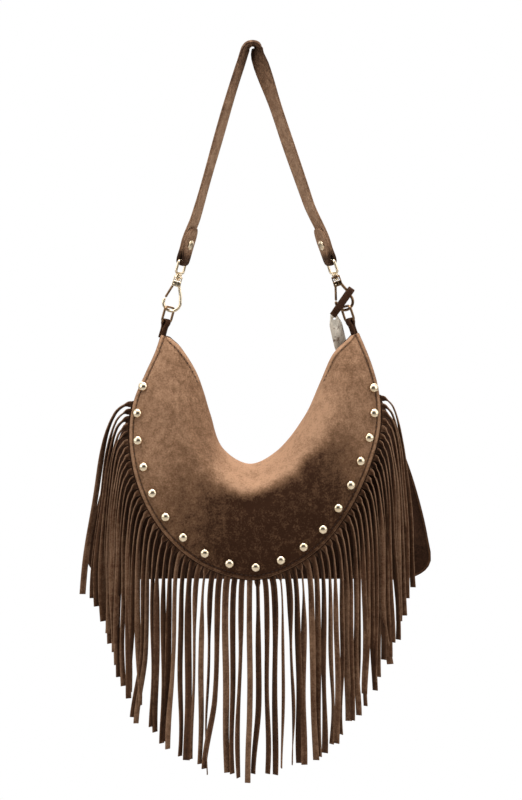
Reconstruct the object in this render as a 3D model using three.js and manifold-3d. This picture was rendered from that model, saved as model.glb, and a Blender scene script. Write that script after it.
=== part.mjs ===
// Fringed suede shoulder bag, hanging by the top of its folded strap.
// Millimetres, +Z up, front towards -Y. The origin is the top of the strap, where a peg or a shoulder holds it.
// Inside the bag group, X is counted from the bag's own middle, which hangs SWAY to the right of the origin.
import * as THREE from 'three';
import { mergeVertices } from 'three/addons/utils/BufferGeometryUtils.js';
import Module from 'manifold-3d';

const wasm = await Module();
wasm.setup();

// ---- driving dimensions ----
const SWAY = 4;                  // the bag's middle, right of the hanging point
const CLEAR = 0.4;               // gap left between pieces that touch

const CHAIN_X = 77;              // strap ends, either side of the bag's middle
const CHAIN_Z = -226;            // bar that the strap end folds round
const CHAINS = {                 // mirror puts the part on its side; tilt follows the pull of the strap
  left: { mirror: 1, tilt: THREE.MathUtils.degToRad(15.5) },
  right: { mirror: -1, tilt: THREE.MathUtils.degToRad(18.5) },
};

const STRAP_WIDTH = 20;
const STRAP_THICK = 3;
const STRAP_FOLD_WIDTH = 12;     // strap width where it passes the swivel eye
const STRAP_TURN = THREE.MathUtils.degToRad(66);   // strap faces are turned this far from the front
const STRAP_TAB = 36;            // folded end, above the bar
const PEG_RADIUS = 8;

const EYE_WIRE = 1.3;
const EYE_HALF_WIDTH = 8.8;
const EYE_HEIGHT = 13;
const HOOK_WIRE = 1.5;
const BOW_RADIUS = 8.8;
const BOW_Z = -45;
const RING_WIRE = 1.3;
const RING_HALF_WIDTH = 8.7;
const RING_HEIGHT = 16.3;
const RING_TURN = THREE.MathUtils.degToRad(60);

const SUEDE = 2;                 // one layer of bag suede
const LINING = 1;
const MOUTH_RECESS = 5;          // the mouth edge lies this far below the rolled top edge
const FLAP_DEPTH = 40;           // how far the lower flap stands forward of the seam
const BELLY = 7;                 // extra roundness of the flap's middle
const BACK_DEPTH = 27;
const BACK_DROP = 6;             // the back's top edge hangs this far below the front's
const STUD_RADIUS = 5;
const STUD_COUNT = 19;
const STUD_INSET = 12.5;         // stud centres, inside the flap's edge; less for those near the corners
const FRINGE_LENGTH = 206;
const FRINGE_THICK = 2.4;
const SNAP_GAP = 2;              // from each half of the snap to its lining

// ---- colours ----
const finishes = {
  suede: { color: 0x8a674f, roughness: 0.95, metalness: 0 },
  darkSuede: { color: 0x4a3226, roughness: 0.95, metalness: 0 },
  cloth: { color: 0x6b5545, roughness: 0.9, metalness: 0 },
  gold: { color: 0xe6cfa8, roughness: 0.25, metalness: 1 },
  bronze: { color: 0x6e5640, roughness: 0.3, metalness: 1 },
  tagLeather: { color: 0xd9c9ae, roughness: 0.6, metalness: 0 },
};

// ---- geometry helpers ----
const vec = (x, y, z) => new THREE.Vector3(x, y, z);
const smoothCurve = (points) => new THREE.CatmullRomCurve3(points, false, 'centripetal');

/** Closed geometry from shared vertices; the faces are turned to point out. */
function solidFrom(points, faces) {
  let volume = 0;
  for (let i = 0; i < faces.length; i += 3) {
    const [a, b, c] = [points[faces[i]], points[faces[i + 1]], points[faces[i + 2]]];
    volume += a.dot(b.clone().cross(c));
  }
  const outward = volume > 0 ? faces : faces.toReversed();
  const geometry = new THREE.BufferGeometry();
  geometry.setAttribute('position', new THREE.Float32BufferAttribute(points.flatMap((p) => p.toArray()), 3));
  geometry.setIndex(outward);
  geometry.computeVertexNormals();
  return geometry;
}

/**
 * Solid through a row of equal rings of points: capped at both ends, or looped back on itself. The two halves of a
 * ring are split along matching diagonals, so that the two faces of a sheet stay parallel.
 */
function loft(rings, looped = false) {
  const size = rings[0].length;
  const faces = [];
  const spans = looped ? rings.length : rings.length - 1;
  for (let i = 0; i < spans; i++) {
    const here = i * size;
    const next = ((i + 1) % rings.length) * size;
    for (let j = 0; j < size; j++) {
      const k = (j + 1) % size;
      if (j < size / 2) faces.push(here + j, next + j, next + k, here + j, next + k, here + k);
      else faces.push(here + j, next + j, here + k, here + k, next + j, next + k);
    }
  }
  if (!looped) {
    const last = (rings.length - 1) * size;
    for (let j = 0; j < size / 2 - 1; j++) {
      const far = size - 1 - j;
      faces.push(j, j + 1, far - 1, j, far - 1, far);
      faces.push(last + j + 1, last + j, last + far, last + j + 1, last + far, last + far - 1);
    }
  }
  return solidFrom(rings.flat(), faces);
}

/** Solid swept along points. sideways(i) is the section's first direction; section(i) lists [sideways, across]. */
function sweep(points, sideways, section, looped = false) {
  const count = points.length;
  const rings = points.map((point, i) => {
    const before = looped ? points[(i + count - 1) % count] : points[Math.max(i - 1, 0)];
    const after = looped ? points[(i + 1) % count] : points[Math.min(i + 1, count - 1)];
    const along = after.clone().sub(before).normalize();
    const across = along.clone().cross(sideways(i)).normalize();
    const side = across.clone().cross(along).normalize();
    return section(i).map(([a, b]) => point.clone().addScaledVector(side, a).addScaledVector(across, b));
  });
  return loft(rings, looped);
}

const circle = (radius, sides) => Array.from({ length: sides }, (_, i) => {
  const angle = (2 * Math.PI * (i + 0.5)) / sides;
  return [radius * Math.cos(angle), radius * Math.sin(angle)];
});

const rectangle = (width, thick) => [
  [-width / 2, -thick / 2], [width / 2, -thick / 2], [width / 2, thick / 2], [-width / 2, thick / 2],
];

/** Wire of round section along points that lie in the plane square to normal. */
function wire(points, normal, radius, sides, looped = false) {
  const section = circle(radius, sides);
  return sweep(points, () => normal, () => section, looped);
}

/** Closed loop of points: a rectangle with round corners, in the plane of wide and +Z, its top edge at top. */
function roundedLoop(wide, halfWidth, top, height, corner) {
  const arcSteps = 3;
  const points = [];
  const centres = [[1, 0], [-1, 0], [-1, 1], [1, 1]];
  centres.forEach(([sign, low], quarter) => {
    for (let step = 0; step <= arcSteps; step++) {
      const angle = (Math.PI / 2) * (quarter + step / arcSteps);
      const w = sign * (halfWidth - corner) + corner * Math.cos(angle);
      const z = top - corner - low * (height - 2 * corner) + corner * Math.sin(angle);
      points.push(wide.clone().multiplyScalar(w).add(vec(0, 0, z)));
    }
  });
  return points;
}

/** Turned piece about +Z from [radius, z] pairs that start and end on the axis. */
const turned = (profile, sides) => new THREE.LatheGeometry(profile.map(([r, z]) => new THREE.Vector2(r, z)), sides)
  .rotateX(Math.PI / 2);

const block = (low, high) => new THREE.BoxGeometry(...high.map((h, i) => h - low[i]))
  .translate(...high.map((h, i) => (h + low[i]) / 2));

const rod = (radius, length, sides) => new THREE.CylinderGeometry(radius, radius, length, sides);

function toManifold(geometry) {
  const bare = geometry.clone();
  bare.deleteAttribute('normal');
  bare.deleteAttribute('uv');
  const merged = mergeVertices(bare, 1e-4);
  return new wasm.Manifold(new wasm.Mesh({
    numProp: 3,
    vertProperties: new Float32Array(merged.attributes.position.array),
    triVerts: new Uint32Array(merged.index.array),
  }));
}

/** base with every geometry of joins added, then every geometry of cuts removed. */
function combine(base, joins, cuts) {
  let body = toManifold(base);
  for (const geometry of joins) body = body.add(toManifold(geometry));
  for (const geometry of cuts) body = body.subtract(toManifold(geometry));
  const mesh = body.getMesh();
  const geometry = new THREE.BufferGeometry();
  geometry.setAttribute('position', new THREE.BufferAttribute(new Float32Array(mesh.vertProperties), 3));
  geometry.setIndex(new THREE.BufferAttribute(new Uint32Array(mesh.triVerts), 1));
  geometry.computeVertexNormals();
  return geometry;
}

function piece(name, geometry, finish) {
  const mesh = new THREE.Mesh(geometry, new THREE.MeshStandardMaterial(finishes[finish]));
  mesh.name = name;
  return mesh;
}

// ---- bag outlines, in the bag's XZ plane ----
const flat = (pairs) => pairs.map(([x, z]) => vec(x, 0, z));

// the rolled top edge, a sagging U from the left corner to the right one
const topEdge = smoothCurve(flat([
  [-90, -306], [-78, -315], [-60, -342], [-47, -382], [-34, -419], [-7, -435],
  [20, -422], [48, -387], [65, -349], [80, -320], [98, -304],
]));

// the flap's outer edge: the left flank, a quarter of an ellipse, and the right side, which is cut a little straighter
const FLAP_ELLIPSE = { x: 131, z: 151, centreZ: -402 };
function flapOutline() {
  const points = flat([[-99, -303], [-105, -320], [-115, -342], [-126, -368]]);
  const steps = 6;
  for (let i = 0; i <= steps; i++) {
    const angle = Math.PI * (1 + i / (2 * steps));
    const z = FLAP_ELLIPSE.centreZ + FLAP_ELLIPSE.z * Math.sin(angle);
    points.push(vec(FLAP_ELLIPSE.x * Math.cos(angle), 0, z));
  }
  points.push(...flat([
    [34, -542], [68, -518], [97, -479], [117, -436], [127, -400], [128, -375], [125, -353], [119, -332], [112, -314],
    [106, -301],
  ]));
  return points;
}
const flapEdge = smoothCurve(flapOutline());

// the pouch behind the flap: sides that spread downwards, round lower corners and a nearly straight bottom
const pouchOutline = smoothCurve(flat([
  [-93, -290], [-101, -313], [-111, -338], [-123, -366], [-142, -405], [-161, -460], [-175, -515], [-178, -545],
  [-160, -559], [-90, -561], [0, -562], [90, -561], [166, -559], [183, -545], [180, -515], [166, -460],
  [146, -405], [129, -366], [118, -338], [110, -315], [101, -289],
])).getSpacedPoints(200);

/** Distance along direction from start to the pouch's outline. */
function reachToPouch(start, direction) {
  for (let i = 0; i + 1 < pouchOutline.length; i++) {
    const a = pouchOutline[i].clone().sub(start);
    const b = pouchOutline[i + 1].clone().sub(start);
    const sideA = direction.x * a.z - direction.z * a.x;
    const sideB = direction.x * b.z - direction.z * b.x;
    if (sideA * sideB > 0) continue;
    const share = sideA / (sideA - sideB);
    const hit = a.lerp(b, share);
    const distance = hit.dot(direction);
    if (distance > 0) return distance;
  }
  throw new Error('no reach to the pouch outline');
}

// ---- bag surfaces ----
// t runs along the mouth from the left corner to the right one, v from the mouth to the outer edge.
const swell = (t) => Math.sin(Math.PI * THREE.MathUtils.clamp(t, 0.001, 0.999)) ** 0.6;
const mouthMiddle = (t) => 8 * Math.sin(Math.PI * t);
const frontMouth = (t) => mouthMiddle(t) - 6 - 5 * swell(t);
const backMouth = (t) => mouthMiddle(t) + 3.2 + 7 * swell(t);
const flapForward = (t) => -7 - FLAP_DEPTH * swell(t);
const FRONT_SEAM = -6;
const BACK_SEAM = 2.6;
const BEND = 0.7;                // share of v where the pouch starts to turn in to its seam

const rays = new Map();
function rayAt(t) {
  if (!rays.has(t)) {
    const start = topEdge.getPointAt(t);
    const toEdge = flapEdge.getPointAt(t).sub(start);
    const direction = toEdge.clone().normalize();
    rays.set(t, { start, direction, flapReach: toEdge.length(), pouchReach: reachToPouch(start, direction) });
  }
  return rays.get(t);
}

const onRay = ({ start, direction }, distance, y) => start.clone().addScaledVector(direction, distance).setY(y);

/** The rolled edge: how far below the top edge the surface starts, fading out over the first part of v. */
const rolledEdge = (v) => MOUTH_RECESS * (1 - Math.min(v / 0.07, 1)) ** 2;

function flapSurface(t, v) {
  const ray = rayAt(t);
  const forward = 1 - (1 - Math.min(v / 0.55, 1)) ** 2.2;
  const roundness = BELLY * swell(t) * Math.sin(Math.PI * v);
  const y = THREE.MathUtils.lerp(frontMouth(t), flapForward(t), forward) - roundness;
  return onRay(ray, rolledEdge(v) + ray.flapReach * v ** 1.3, y);
}

function pouchFront(t, v) {
  const ray = rayAt(t);
  const beyondFlap = THREE.MathUtils.clamp((ray.pouchReach - ray.flapReach - 5) / 40, 0, 1);
  const bendV = BEND - 0.35 * beyondFlap;
  if (v <= bendV) return flapSurface(t, v);
  const bend = flapSurface(t, bendV);
  const bendReach = bend.clone().setY(0).distanceTo(ray.start);
  const angle = ((v - bendV) / (1 - bendV)) * (Math.PI / 2);
  const distance = bendReach + (ray.pouchReach - bendReach) * Math.sin(angle);
  const fullness = Math.cos(angle) ** (1 + 1.6 * beyondFlap);
  return onRay(ray, distance, FRONT_SEAM + (bend.y - FRONT_SEAM) * fullness);
}

function pouchBack(t, v) {
  const ray = rayAt(t);
  const depth = backMouth(t) + BACK_DEPTH * swell(t);
  const shoulder = 0.3;
  const drop = BACK_DROP * swell(t);
  const shoulderReach = drop + 0.28 * ray.flapReach;
  const bendReach = THREE.MathUtils.lerp(shoulderReach, ray.pouchReach, 0.6);
  if (v <= shoulder) {
    const angle = (v / shoulder) * (Math.PI / 2);
    const distance = rolledEdge(v) + drop + (shoulderReach - drop) * (1 - Math.cos(angle));
    return onRay(ray, distance, THREE.MathUtils.lerp(backMouth(t), depth, Math.sin(angle)));
  }
  if (v <= BEND) {
    const share = (v - shoulder) / (BEND - shoulder);
    return onRay(ray, THREE.MathUtils.lerp(shoulderReach, bendReach, share), depth);
  }
  const angle = ((v - BEND) / (1 - BEND)) * (Math.PI / 2);
  const distance = bendReach + (ray.pouchReach - bendReach) * Math.sin(angle);
  return onRay(ray, distance, BACK_SEAM + (depth - BACK_SEAM) * Math.cos(angle));
}

/** Direction into the bag, square to the surface. The rolled edge keeps the direction of the surface below it. */
function inward(surface, t, vAny, towardsBack) {
  const step = 0.004;
  const v = Math.max(vAny, 0.12);
  const alongT = surface(Math.min(t + step, 1), v).sub(surface(Math.max(t - step, 0), v));
  const alongV = surface(t, Math.min(v + step, 1)).sub(surface(t, Math.max(v - step, 0)));
  const normal = alongT.cross(alongV).normalize();
  const facesBack = normal.y > 0 === towardsBack;
  return facesBack ? normal : normal.negate();
}

/** A sheet that follows a surface, between two depths below it. */
function sheet(surface, { from, to, columns, rows, tRange = [0, 1], vRange = [0, 1], towardsBack = true }) {
  const rings = [];
  for (let i = 0; i <= columns; i++) {
    const t = THREE.MathUtils.lerp(...tRange, i / columns);
    const outer = [];
    const inner = [];
    for (let j = 0; j <= rows; j++) {
      const v = THREE.MathUtils.lerp(...vRange, j / rows);
      const point = surface(t, v);
      const normal = inward(surface, t, v, towardsBack);
      outer.push(point.clone().addScaledVector(normal, from));
      inner.push(point.clone().addScaledVector(normal, to));
    }
    rings.push([...outer, ...inner.reverse()]);
  }
  return loft(rings);
}

// ---- the soft pieces ----
const PANEL_FROM = SUEDE + 1.7;
const PANEL_TO = PANEL_FROM + SUEDE;
const FRONT_LINING_FROM = PANEL_TO + 1.3;
const BACK_LINING_FROM = SUEDE + 0.8;

const COLUMNS = 28;              // every sheet is cut at the same stations, so that layers stay parallel
const ROWS = 10;

function softPieces() {
  const whole = { columns: COLUMNS, rows: ROWS };
  const liningInset = 2;
  const inside = {
    columns: COLUMNS - 2 * liningInset,
    rows: ROWS - 3,
    tRange: [liningInset / COLUMNS, 1 - liningInset / COLUMNS],
    vRange: [1 / ROWS, 1 - 2 / ROWS],
  };
  const front = (from, thick, span) => sheet(pouchFront, { from, to: from + thick, ...span });
  const back = (from, thick, span) => sheet(pouchBack, { from, to: from + thick, towardsBack: false, ...span });
  return [
    piece('front_flap', sheet(flapSurface, { from: 0, to: SUEDE, ...whole }), 'suede'),
    piece('front_panel', front(PANEL_FROM, SUEDE, { ...whole, tRange: [0.008, 0.992] }), 'darkSuede'),
    piece('back_panel', back(0, SUEDE, whole), 'darkSuede'),
    piece('lining_front', front(FRONT_LINING_FROM, LINING, inside), 'cloth'),
    piece('lining_back', back(BACK_LINING_FROM, LINING, inside), 'cloth'),
    piece('fringe', fringeCurtain(), 'darkSuede'),
  ];
}

/**
 * The fringe as one curtain: it leaves the flap's edge square to it and soon hangs down, straight in the middle and
 * leaning out over the pouch at the sides.
 */
function fringeCurtain() {
  const columns = 30;
  const rows = 7;
  const turnLength = 15;
  const sideLean = 0.13;
  const [first, last] = [0.12, 0.89];
  const behindFlap = SUEDE + 1.2;
  const rings = [];
  for (let i = 0; i <= columns; i++) {
    const t = THREE.MathUtils.lerp(first, last, i / columns);
    const edge = flapSurface(t, 1);
    const tangent = flapEdge.getTangentAt(t);
    const outward = Math.atan2(-tangent.x, tangent.z);
    const down = -Math.PI / 2;
    const turn = Math.atan2(Math.sin(outward - down), Math.cos(outward - down));
    const lean = sideLean * Math.sin(turn) ** 3;
    const point = edge.clone().add(vec(0, behindFlap, 0));
    const front = [];
    const back = [];
    const fineSteps = 12;
    const step = FRINGE_LENGTH / (rows * fineSteps);
    for (let j = 0; j <= rows * fineSteps; j++) {
      const angle = down + lean + (turn - lean) * Math.exp(-(j * step) / turnLength);
      if (j % fineSteps === 0) {
        front.push(point.clone());
        back.push(point.clone().add(vec(0, FRINGE_THICK, 0)));
      }
      point.add(vec(Math.cos(angle) * step, 0, Math.sin(angle) * step));
    }
    rings.push([...front, ...back.reverse()]);
  }
  return loft(rings);
}

/** Domed studs at even steps along the flap's edge, each seated square on the suede. */
function studs() {
  const [first, last] = [0.094, 0.902];
  const dome = [[0, 4.2], [2.2, 3.7], [3.9, 2.4], [4.8, 0.9], [STUD_RADIUS, 0], [0, 0]];
  return Array.from({ length: STUD_COUNT }, (_, i) => {
    const share = i / (STUD_COUNT - 1);
    const t = THREE.MathUtils.lerp(first, last, share) + 0.01 * Math.sin(Math.PI * share);
    const fromEnd = Math.min(i, STUD_COUNT - 1 - i);
    const inset = (STUD_INSET * Math.min(0.5 + fromEnd / 6, 1)) / rayAt(t).flapReach;
    const v = (1 - inset) ** (1 / 1.3);
    const outside = inward(flapSurface, t, v, true).negate();
    const seat = flapSurface(t, v).addScaledVector(outside, CLEAR + 0.5);
    const stud = piece(`stud_${String(i + 1).padStart(2, '0')}`, turned(dome.toReversed(), 12), 'gold');
    stud.position.copy(seat);
    stud.quaternion.setFromUnitVectors(vec(0, 0, 1), outside);
    return stud;
  });
}

/** Magnetic snap: a studded half on the front lining and a cupped half on the back lining, just below the mouth. */
function magneticSnap() {
  const t = 0.5;
  const v = 0.16;
  const seat = (surface, towardsBack, depth) => surface(t, v)
    .addScaledVector(inward(surface, t, v, towardsBack), depth);
  const place = (name, profile, surface, towardsBack, depth, finish) => {
    const half = piece(name, turned(profile, 16), finish);
    half.position.copy(seat(surface, towardsBack, depth));
    half.quaternion.setFromUnitVectors(vec(0, 0, 1), inward(surface, t, v, towardsBack));
    return half;
  };
  const stud = [[0, 0], [7, 0], [7, 1.6], [2.6, 1.6], [2.2, 3.6], [0, 3.6]];
  const cup = [[0, 0], [7, 0], [7, 2.6], [3.2, 2.6], [3.2, 0.9], [0, 0.9]];
  const frontFace = FRONT_LINING_FROM + LINING + SNAP_GAP;
  const backFace = BACK_LINING_FROM + LINING + SNAP_GAP;
  return [
    place('snap_stud', stud, pouchFront, true, frontFace, 'gold'),
    place('snap_cup', cup, pouchBack, false, backFace, 'gold'),
  ];
}

// ---- strap and its rivets ----
const RIVET_Z = 18;
const LAYER = STRAP_THICK / 2 + 0.3;
const FOLD_RADIUS = EYE_WIRE + CLEAR + STRAP_THICK / 2;

/** A chain's frame: its origin is on the bar that the strap folds round, and +Z runs up along the pull. */
const chainFrame = ({ mirror, tilt }) => new THREE.Matrix4().makeRotationY(mirror * tilt)
  .setPosition(-mirror * CHAIN_X, 0, CHAIN_Z);
const strapWide = ({ mirror }) => vec(mirror * Math.cos(STRAP_TURN), Math.sin(STRAP_TURN), 0);
const strapOut = ({ mirror }) => vec(mirror * Math.sin(STRAP_TURN), -Math.cos(STRAP_TURN), 0);

/** Stations of one strap end, from the tip of its folded tab round the bar and up to the leg. */
function strapEnd(chain) {
  const stations = [
    [LAYER, STRAP_TAB, 9], [LAYER, STRAP_TAB - 4, 15], [LAYER, STRAP_TAB - 12, STRAP_WIDTH],
    [LAYER, 12, STRAP_WIDTH - 1], [FOLD_RADIUS, 3, STRAP_FOLD_WIDTH],
  ];
  const foldSteps = 6;
  for (let i = 0; i <= foldSteps; i++) {
    const angle = -(Math.PI * i) / foldSteps;
    stations.push([FOLD_RADIUS * Math.cos(angle), FOLD_RADIUS * Math.sin(angle), STRAP_FOLD_WIDTH]);
  }
  stations.push([-FOLD_RADIUS, 3, STRAP_FOLD_WIDTH], [-LAYER, 12, 17], [-LAYER, 22, 18], [-LAYER, STRAP_TAB, 18]);
  const frame = chainFrame(chain);
  return stations.map(([out, z, width]) => ({
    point: strapOut(chain).multiplyScalar(out).add(vec(0, 0, z)).applyMatrix4(frame),
    wide: strapWide(chain).transformDirection(frame),
    width,
  }));
}

/** The whole strap: left end, left leg, over the peg, right leg, right end. */
function strapStations() {
  const left = strapEnd(CHAINS.left);
  const right = strapEnd(CHAINS.right).toReversed();
  const pegSteps = 6;
  const top = Array.from({ length: pegSteps + 1 }, (_, i) => {
    const angle = THREE.MathUtils.degToRad(162 - (144 * i) / pegSteps);
    return vec(PEG_RADIUS * Math.cos(angle) - SWAY, 0, PEG_RADIUS * (Math.sin(angle) - 1) - STRAP_THICK / 2);
  });
  const legSteps = 5;
  const leg = (a, b) => Array.from({ length: legSteps - 1 }, (_, i) => a.clone().lerp(b, (i + 1) / legSteps));
  const from = left.at(-1);
  const to = right[0];
  const middle = [...leg(from.point, top[0]), ...top, ...leg(top.at(-1), to.point)];
  const between = middle.map((point) => {
    const share = (point.x - from.point.x) / (to.point.x - from.point.x);
    return { point, wide: from.wide.clone().lerp(to.wide, share).normalize(), width: STRAP_WIDTH };
  });
  return [...left, ...between, ...right];
}

/** Hole for a rivet's post, through both layers of a strap end. */
function rivetHole(chain) {
  const turn = new THREE.Quaternion().setFromUnitVectors(vec(0, 1, 0), strapOut(chain));
  return rod(2.3, 14, 12).applyQuaternion(turn).translate(0, 0, RIVET_Z).applyMatrix4(chainFrame(chain));
}

function shoulderStrap() {
  const stations = strapStations();
  const ribbon = sweep(
    stations.map(({ point }) => point),
    (i) => stations[i].wide,
    (i) => rectangle(stations[i].width, STRAP_THICK),
  );
  const holes = Object.values(CHAINS).map(rivetHole);
  return piece('shoulder_strap', combine(ribbon, [], holes), 'suede');
}

/** Double-cap rivet: a domed cap on the strap's inner face, and a flanged post through both layers. */
function rivet(side, out) {
  const face = LAYER + STRAP_THICK / 2 + CLEAR;
  const cap = piece(`rivet_cap_${side}`, turned([[0, 0], [5.2, 0], [4.6, 1.2], [2.8, 2], [0, 2.2]], 16), 'gold');
  const flange = 1;
  const postProfile = [[0, -face - flange], [4.5, -face - flange], [4.5, -face], [2, -face], [2, face - CLEAR],
    [0, face - CLEAR]];
  const post = piece(`rivet_post_${side}`, turned(postProfile, 12), 'gold');
  cap.position.copy(out).multiplyScalar(face).setZ(RIVET_Z);
  post.position.set(0, 0, RIVET_Z);
  for (const part of [cap, post]) part.quaternion.setFromUnitVectors(vec(0, 0, 1), out);
  return [cap, post];
}

// ---- snap hook, in its chain's frame ----
const HEAD = { half: 4.6, deep: 3.4, top: -16.4, bottom: -27.6 };
const PIN = { x: -2.6, z: -25.2, radius: 0.8 };
const NOSE_ANGLE = THREE.MathUtils.degToRad(158);
const bowPoint = (angle) => vec(0.6 + BOW_RADIUS * Math.cos(angle), 0, BOW_Z + BOW_RADIUS * Math.sin(angle));

/** Swivel eye: the loop that the strap folds round, and a stem whose button turns inside the hook's head. */
function swivelEye(side, wide, out) {
  const loop = wire(roundedLoop(wide, EYE_HALF_WIDTH, 0, EYE_HEIGHT, 2.6), out, EYE_WIRE, 8, true);
  const stem = turned([[0, -21.4], [2.6, -21.4], [2.6, -19.8], [1.7, -19.2], [1.7, -16], [3.4, -16], [3.4, -14],
    [1.6, -12.6], [0, -12.6]], 12);
  return piece(`swivel_eye_${side}`, combine(loop, [stem], []), 'gold');
}

function hookBody(side) {
  const arcSteps = 11;
  const arcStart = 0.35;
  const arcTurn = arcStart + 2 * Math.PI - NOSE_ANGLE;
  const arc = Array.from({ length: arcSteps + 1 }, (_, i) => bowPoint(arcStart - (i * arcTurn) / arcSteps));
  const spine = [vec(2.8, 0, -24.5), vec(4.4, 0, -29), vec(7, 0, -35)];
  const path = smoothCurve([...spine, ...arc]).getSpacedPoints(26);
  const bow = wire(path, vec(0, 1, 0), HOOK_WIRE, 8);
  const { half, deep, top, bottom } = HEAD;
  const head = block([-half, -deep, bottom], [half, deep, top]);
  const bore = rod(2, 6, 12).rotateX(Math.PI / 2).translate(0, 0, top);
  const window = block([-3.2, -deep - 1, -22.2], [3.2, deep + 1, -18.8]);
  const gateSlot = block([-half - 1, -1.9, bottom - 1], [0.2, 1.9, -23.1]);
  const pinHole = rod(PIN.radius + 0.2, 12, 12).translate(PIN.x, 0, PIN.z);
  return piece(`hook_body_${side}`, combine(head, [bow], [bore, window, gateSlot, pinHole]), 'gold');
}

/** Gate: a bar from its knuckle on the pin to just short of the hook's nose. */
function hookGate(side) {
  const knuckle = rod(1.7, 3, 12).translate(PIN.x, 0, PIN.z);
  const noseGap = 1.2;
  const start = vec(PIN.x, 0, PIN.z);
  const toNose = bowPoint(NOSE_ANGLE).sub(start);
  const end = start.clone().add(toNose.clone().setLength(toNose.length() - noseGap));
  const bar = wire([start.clone().lerp(end, 0.06), start.clone().lerp(end, 0.5), end], vec(0, 1, 0), 1.25, 8);
  const pinHole = rod(PIN.radius + 0.2, 12, 12).translate(PIN.x, 0, PIN.z);
  return piece(`hook_gate_${side}`, combine(knuckle, [bar], [pinHole]), 'bronze');
}

function snapHook(side) {
  const pin = piece(`gate_pin_${side}`, rod(PIN.radius, 6.4, 12), 'gold');
  pin.position.set(PIN.x, 0, PIN.z);
  const spring = piece(`gate_spring_${side}`, block([-0.6, -1.3, HEAD.bottom], [-0.2, 1.3, -23.5]), 'bronze');
  return [hookBody(side), hookGate(side), pin, spring];
}

// ---- bag ring and the suede tab that holds it ----
const HOOK_TO_RING = 0.9;        // gap between the bottom of the bow and the ring
const RING_TOP = BOW_Z - BOW_RADIUS + HOOK_WIRE + RING_WIRE + HOOK_TO_RING;
const TAB_WIDTH = 8.6;
const TAB_DROP = 12;            // from the ring's lower bar to the tab's ends
const TAB_LAYER = 1.3;           // from the tab's middle plane to the middle of each layer

function ringAndTab(side, mirror) {
  const wide = vec(mirror * Math.cos(RING_TURN), Math.sin(RING_TURN), 0);
  const out = vec(Math.sin(RING_TURN), -mirror * Math.cos(RING_TURN), 0);
  const loop = roundedLoop(wide, RING_HALF_WIDTH, RING_TOP, RING_HEIGHT, 4);
  const ring = piece(`bag_ring_${side}`, wire(loop, out, RING_WIRE, 8, true), 'bronze');
  const barZ = RING_TOP - RING_HEIGHT;
  const radius = RING_WIRE + CLEAR + SUEDE / 2;
  const path = [[TAB_LAYER, barZ - TAB_DROP], [TAB_LAYER, barZ - 5], [radius, barZ - 1]];
  for (let i = 0; i <= 6; i++) {
    const angle = (Math.PI * i) / 6;
    path.push([radius * Math.cos(angle), barZ + radius * Math.sin(angle)]);
  }
  path.push([-radius, barZ - 1], [-TAB_LAYER, barZ - 5], [-TAB_LAYER, barZ - TAB_DROP]);
  const points = path.map(([w, z]) => out.clone().multiplyScalar(w).setZ(z));
  const tab = sweep(points, () => wide, () => rectangle(TAB_WIDTH, SUEDE));
  return [ring, piece(`ring_tab_${side}`, tab, 'darkSuede')];
}

function hardware(side) {
  const chain = CHAINS[side];
  const wide = strapWide(chain);
  const out = strapOut(chain);
  const group = new THREE.Group();
  group.applyMatrix4(chainFrame(chain));
  group.add(...rivet(side, out), swivelEye(side, wide, out), ...snapHook(side), ...ringAndTab(side, chain.mirror));
  return group;
}

// ---- blank hang tag on a suede strip, looped over the right hook's spine ----
const TAG = { top: vec(80.5, 0, -282), thick: 1.6, lean: 24, turn: -14 };
const TAG_STRIP = { width: 4, thick: 1.4, spine: vec(98, 0, -257), halfLoop: 6.4 };

function tagStrip() {
  const { width, thick, spine, halfLoop } = TAG_STRIP;
  const outwards = spine.clone().sub(TAG.top).normalize();
  const nearTag = TAG.top.clone().lerp(spine, 0.2);
  const at = (point, y) => point.clone().setY(y);
  const path = [at(TAG.top, -2.6), at(nearTag, -0.85 * halfLoop), at(spine, -halfLoop)];
  const turnSteps = 6;
  for (let i = 1; i < turnSteps; i++) {
    const angle = -Math.PI / 2 + (Math.PI * i) / turnSteps;
    const point = spine.clone().addScaledVector(outwards, halfLoop * Math.cos(angle));
    path.push(point.setY(halfLoop * Math.sin(angle)));
  }
  path.push(at(spine, halfLoop), at(nearTag, 0.85 * halfLoop), at(TAG.top, 2.6));
  const across = vec(outwards.z, 0, -outwards.x);
  return piece('tag_strip', sweep(path, () => across, () => rectangle(width, thick)), 'darkSuede');
}

/** The tag narrows to its hole, and its lower end leans back behind the bag's corner. */
function hangTag() {
  const half = [[2.5, 2], [6.5, -12], [6.5, -44]];
  const corners = [...half, ...half.toReversed().map(([x, z]) => [-x, z])];
  const outline = new THREE.Shape(corners.map(([x, z]) => new THREE.Vector2(x, z)));
  const holeDrop = 5;
  outline.holes.push(new THREE.Path(circle(1.6, 12).map(([x, z]) => new THREE.Vector2(x, z - holeDrop))));
  const card = new THREE.ExtrudeGeometry(outline, { depth: TAG.thick, bevelEnabled: false })
    .rotateX(Math.PI / 2).translate(0, TAG.thick / 2, 0);
  const tag = piece('hang_tag', card, 'tagLeather');
  tag.position.copy(TAG.top);
  tag.rotation.set(THREE.MathUtils.degToRad(TAG.lean), THREE.MathUtils.degToRad(TAG.turn), 0, 'YXZ');
  return tag;
}

// ---- assembly ----
const bag = new THREE.Group();
bag.position.x = SWAY;
bag.add(
  shoulderStrap(),
  hardware('left'),
  hardware('right'),
  ...softPieces(),
  ...studs(),
  ...magneticSnap(),
  tagStrip(),
  hangTag(),
);

export default bag;
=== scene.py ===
"""Looks of the fringed suede shoulder bag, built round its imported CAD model.

Shapes are worked out in millimetres in the bag's own frame, whose X is counted from the bag's middle. They
become metres in the row frame when a mesh is made. The surfaces follow the same formulas as the CAD solids.
"""
import math
import random

import bmesh
import bpy
import numpy as np
from mathutils import Matrix, Vector, noise


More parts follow.
